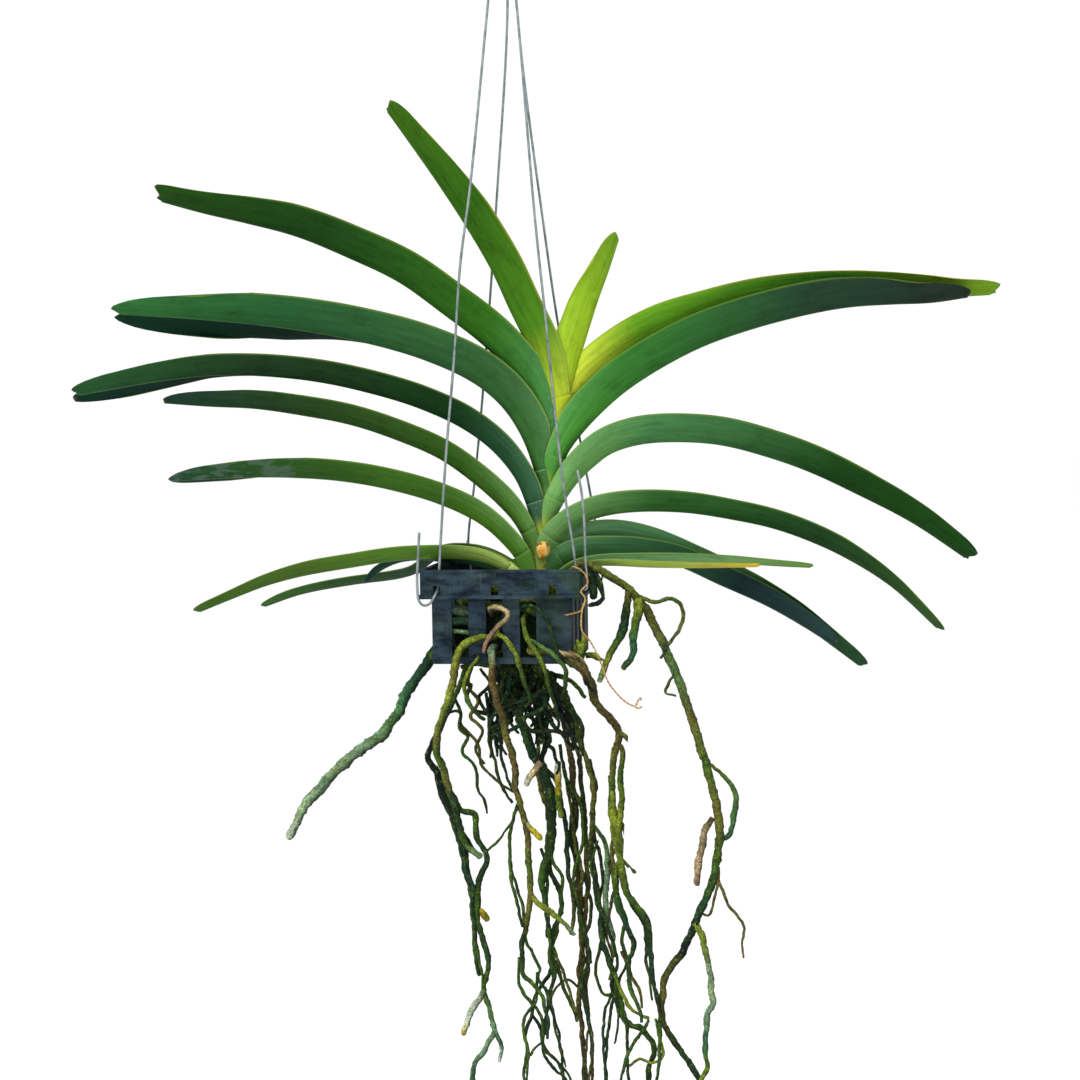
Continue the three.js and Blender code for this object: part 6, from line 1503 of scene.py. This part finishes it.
def addRoots():
    finish = rootFinish()
    seed = 0
    for name, strands in roots.items():
        drawn = [(strand, rootShape["sides"], rootShape["step"]) for strand in strands]
        if name == "root_dark_bundle":
            drawn += [(strand, tangle["sides"], tangle["step"]) for strand in tangleStrands()]
        tubes = []
        for strand, sides, step in drawn:
            seed += 1
            tubes.append(rootTube(strand, sides, step, seed))
        places, faces, colours, lit = joined(tubes)
        addPiece(name, places, faces, finish, {"lit": lit}, colours)
    return finish


rootMaterial = addRoots()
print("roots done:", len(roots))


# Root ball: curled roots packed in the basket round a dark lumpy middle. Bars are the roots in the slots, and
# the arch goes over its top edge on three sides.

rootBall = {
    "top": -23.6, "half": 33, "middle": 36, "bottom": -55.2, "sides": 32, "rows": 10, "squareness": 0.6,
    "lumps": 0.06, "curls": 40, "curlPoints": 7, "curlFar": (0.84, 1.08), "curlTurn": (0.3, 0.6),
    "curlMiddle": (1.9, 2.8), "seed": 5, "tones": ["dark", "deep", "olive", "green", "black"],
    "arch": [(-27, -30, -30), (-19, -36, -15.6), (-3, -41.6, -12.2), (12, -40.4, -12.4), (21, -35, -17.2),
             (25, -28, -31)],
    "archTones": "green bright green deep",
    "bars": [
        ([(-40, -33, -26), (-30, -38.6, -25), (-22, -38.4, -26.4), (-12, -34, -28)], 3.4, "deep stone stone"),
        ([(-39, -32, -33), (-30, -38.6, -32), (-22, -38.8, -31.4), (-12, -34, -33)], 3.0, "deep deep stone"),
        ([(-38, -34, -39), (-29, -38.4, -38), (-20, -38.2, -39.2), (-11, -34, -40)], 1.5, "green mint green"),
        ([(-14, -34, -22), (-5, -38.6, -24), (4, -38.4, -22), (12, -34, -24)], 3.2, "green olive dark"),
        ([(8, -34, -26), (14, -38.4, -24), (22, -38.4, -27), (30, -34, -25)], 3.2, "dark green dark"),
    ],
}


def ballTubes():
    tubes = []
    deepest, tall = rootBall["bottom"] + 4, rootBall["top"] - rootBall["bottom"] - 2
    for n in range(rootBall["curls"]):
        angle = random.uniform(0, 2 * math.pi)
        points = []
        for k in range(rootBall["curlPoints"]):
            far = rootBall["half"] * random.uniform(*rootBall["curlFar"])
            spread = angle + k * random.uniform(*rootBall["curlTurn"])
            height = deepest + tall * random.random()
            points.append(inBasket(far * math.cos(spread), far * math.sin(spread), height))
        radii = [1.6, random.uniform(*rootBall["curlMiddle"]), 1.5]
        tones = " ".join(random.choice(rootBall["tones"]) for _ in range(3))
        tubes.append((tube(points, radii, 8, 2.2, 0.6, 0.25, n * 2.3), toned(tones)))
    for quarter in (0, 1, 2):
        turned = Matrix.Rotation(quarter * math.pi / 2, 3, "Z")
        points = [inBasket(*(turned @ Vector(place))) for place in rootBall["arch"]]
        shape = tube(points, [2.4, 3.3, 2.4], 12, 1.6, 0.3, 0.25, quarter)
        tubes.append((shape, toned(rootBall["archTones"])))
    for points, radius, tones in rootBall["bars"]:
        points = [inBasket(*place) for place in points]
        tubes.append((tube(points, [radius] * 2, 12, 1.6, 0.4, 0.3, radius * 7), toned(tones)))
    return tubes


def addRootBall():
    random.seed(rootBall["seed"])
    places, faces, colours, lit = joined(ballTubes())
    # the dark middle
    sides, rows = rootBall["sides"], rootBall["rows"]
    faces += ringFaces(len(places), rows, sides)
    for i in range(rows + 1):
        t = i / rows
        height = rootBall["bottom"] + 0.4 + (rootBall["top"] - rootBall["bottom"] - 1.4) * t
        for j in range(sides):
            angle = 2 * math.pi * j / sides
            x, y = math.cos(angle), math.sin(angle)
            square = (1 / max(abs(x), abs(y))) ** rootBall["squareness"]
            far = rootBall["middle"] * square * (0.9 + 0.1 * math.sin(math.pi * t))
            far *= 1 + rootBall["lumps"] * noise.noise(Vector((x * 3, y * 3, t * 4)))
            places.append(inBasket(far * x, far * y, height))
    lit += [0.0] * (sides * (rows + 1))
    colours += toned("dark") * (sides * (rows + 1))
    addPiece("root_ball", places, faces, rootMaterial, {"lit": lit}, colours)


addRootBall()
print("root ball done")


# Plant label and its tie

label = {
    "top": (77.4, -39, -80), "lean": 2.2, "length": 104, "width": 14, "thickness": 0.8, "corner": 2.5,
    "point": 0.8, "hole": 4, "holeInset": 5.5, "holeSides": 24, "bevel": 0.15,
    "white": (246, 246, 243), "dirt": (214, 216, 202), "dirtAmount": 0.4,
}


def labelFinish():
    finish = Finish("label_plastic", Specular_IOR_Level=0.5)
    place = finish.place()
    scuffs = finish.brushed(place, (300, 300, 40), 4.0)
    dirt = finish.between(finish.speckle(place, 70.0, 4.0, 0.65), 0.52, 0.75)
    colour = finish.mix(dirt * label["dirtAmount"], tint(*label["white"]), tint(*label["dirt"]))
    return finish.done(Base_Color=colour, Roughness=0.35 + 0.25 * scuffs,
                       Normal=finish.bump(scuffs, 0.00008, 0.5))


def labelOutline():
    # round corners above and a blunt point below
    half, corner, length, point = label["width"] / 2, label["corner"], label["length"], label["point"]
    outline = []

    def turn(middle, degreesList):
        for degrees in degreesList:
            angle = math.radians(degrees)
            outline.append((middle + corner * math.cos(angle), -corner + corner * math.sin(angle)))

    turn(half - corner, range(90, -1, -15))
    outline.extend([(half, -length + half), (point, -length + point), (0, -length + 0.5),
                    (-point, -length + point), (-half, -length + half)])
    turn(-half + corner, range(180, 89, -15))
    return outline


def addLabel():
    bm = bmesh.new()
    outline = [bm.verts.new((x, 0, z)) for x, z in labelOutline()]
    hole = []
    for j in range(label["holeSides"]):
        angle = -2 * math.pi * j / label["holeSides"]
        hole.append(bm.verts.new((label["hole"] / 2 * math.cos(angle), 0,
                                  label["hole"] / 2 * math.sin(angle) - label["holeInset"])))
    edges = []
    for ring in (outline, hole):
        edges += [bm.edges.new((ring[n], ring[(n + 1) % len(ring)])) for n in range(len(ring))]
    bmesh.ops.triangle_fill(bm, use_beauty=True, edges=edges)
    mesh = bpy.data.meshes.new("plant_label")
    lean = Matrix.Rotation(math.radians(label["lean"]), 4, "Y")
    for vert in bm.verts:
        vert.co = toFrame(Vector(label["top"]) + lean @ vert.co)
    bm.to_mesh(mesh)
    bm.free()
    mesh.materials.append(labelFinish())
    piece = bpy.data.objects.new("plant_label", mesh)
    scene.collection.objects.link(piece)
    thick = piece.modifiers.new("thickness", "SOLIDIFY")
    thick.thickness = label["thickness"] / 1000
    thick.offset = 0
    bevel = piece.modifiers.new("soft edges", "BEVEL")
    bevel.width = label["bevel"] / 1000
    bevel.segments = 2
    finishPiece(piece, ["plant_label"])


addLabel()

tie = {
    "radius": 0.3, "twist": 5.5, "step": 0.7, "apart": 0.85, "sides": 7,
    "worn": (170, 122, 44), "fresh": (200, 164, 92),
    "loop": [(31, -51.4, -27), (36, -55.4, -25.5), (40.5, -58.6, -23.5), (42.8, -60.4, -16),
             (40.4, -60.6, -12), (44.4, -60.2, -7), (42.6, -59.4, -1.5), (38, -56, 1.9), (35, -50, 1.6),
             (33.6, -46, -3)],
    "lead": [(42, -59.6, -19), (40.6, -59, -28), (41.2, -58, -36), (45.8, -56, -42), (50.6, -53, -51),
             (54, -50, -60), (57.2, -47, -68), (63, -44, -76), (69, -42.4, -81.4), (73.4, -42, -83.4)],
    "eye": [(73, -42.1, -83.4), (75.2, -41.4, -84.6), (77.1, -39.4, -84.4), (78, -37.6, -83.2),
            (77.6, -37.4, -80.6), (76.8, -39.2, -78.5), (75.6, -41.3, -79.6), (74, -42, -83)],
}


def tieFinish():
    finish = Finish("tie_raffia")
    fibres = finish.speckle(finish.place(), 900.0, 3.0)
    wear = finish.between(finish.speckle(finish.place(), 110.0, 3.0), 0.35, 0.68)
    colour = finish.shade(finish.mix(wear, tint(*tie["worn"]), tint(*tie["fresh"])), 0.7 + 0.35 * fibres)
    return finish.done(Base_Color=colour, Roughness=0.5 + 0.2 * fibres,
                       Normal=finish.bump(fibres, 0.0002, 0.5))


def twisted(points, turn):
    # one of the two strands that wind round each other along the tie
    path = Path(points)
    normal = path.heading(0).cross(Vector((0.2, 0.9, 0.3))).normalized()
    made = []
    count = max(int(path.length / tie["step"]), 6)
    for i in range(count + 1):
        distance = path.length * i / count
        tangent = path.heading(distance)
        normal = (normal - tangent * normal.dot(tangent)).normalized()
        angle = turn + 2 * math.pi * distance / tie["twist"]
        out = normal * math.cos(angle) + tangent.cross(normal) * math.sin(angle)
        made.append(path.at(distance) + out * tie["radius"] * tie["apart"])
    return made


def addTie():
    places, faces = [], []
    for part in ("loop", "lead", "eye"):
        for turn in (0, math.pi):
            shape = tube(twisted(tie[part], turn), [tie["radius"]] * 2, tie["sides"], tie["step"])
            addShape(places, faces, shape["places"], shape["faces"])
    addPiece("label_tie", places, faces, tieFinish())


addTie()
print("label and tie done")


# Floor and light

studio = {
    "floor": -1.25, "floorSize": 60, "white": (0.97, 0.97, 0.97, 1), "world": 1.04, "target": (16, 0, 0),
    "lights": [
        {"name": "key_softbox", "place": (-1.3, -1.6, 1.7), "size": 1.6, "power": 36},
        {"name": "top_softbox", "place": (0.5, 0.3, 1.5), "size": 1.8, "power": 14},
    ],
}


def addStudio():
    grid = bmesh.new()
    bmesh.ops.create_grid(grid, x_segments=8, y_segments=8, size=studio["floorSize"] / 2)
    mesh = bpy.data.meshes.new("studio_floor")
    grid.to_mesh(mesh)
    grid.free()
    finish = Finish("studio_floor_white", Roughness=0.5, Specular_IOR_Level=0.8)
    mesh.materials.append(finish.done(Base_Color=studio["white"]))
    floor = bpy.data.objects.new("studio_floor", mesh)
    floor.location.z = studio["floor"]
    scene.collection.objects.link(floor)
    world = bpy.data.worlds.new("studio_world")
    world.use_nodes = True
    background = world.node_tree.nodes["Background"]
    background.inputs["Color"].default_value = (1, 1, 1, 1)
    background.inputs["Strength"].default_value = studio["world"]
    scene.world = world
    for light in studio["lights"]:
        data = bpy.data.lights.new(light["name"], "AREA")
        data.energy = light["power"]
        data.size = light["size"]
        lamp = bpy.data.objects.new(light["name"], data)
        lamp.location = light["place"]
        way = toFrame(studio["target"]) - lamp.location
        lamp.rotation_euler = way.to_track_quat("-Z", "Y").to_euler()
        scene.collection.objects.link(lamp)


addStudio()
print("studio done")
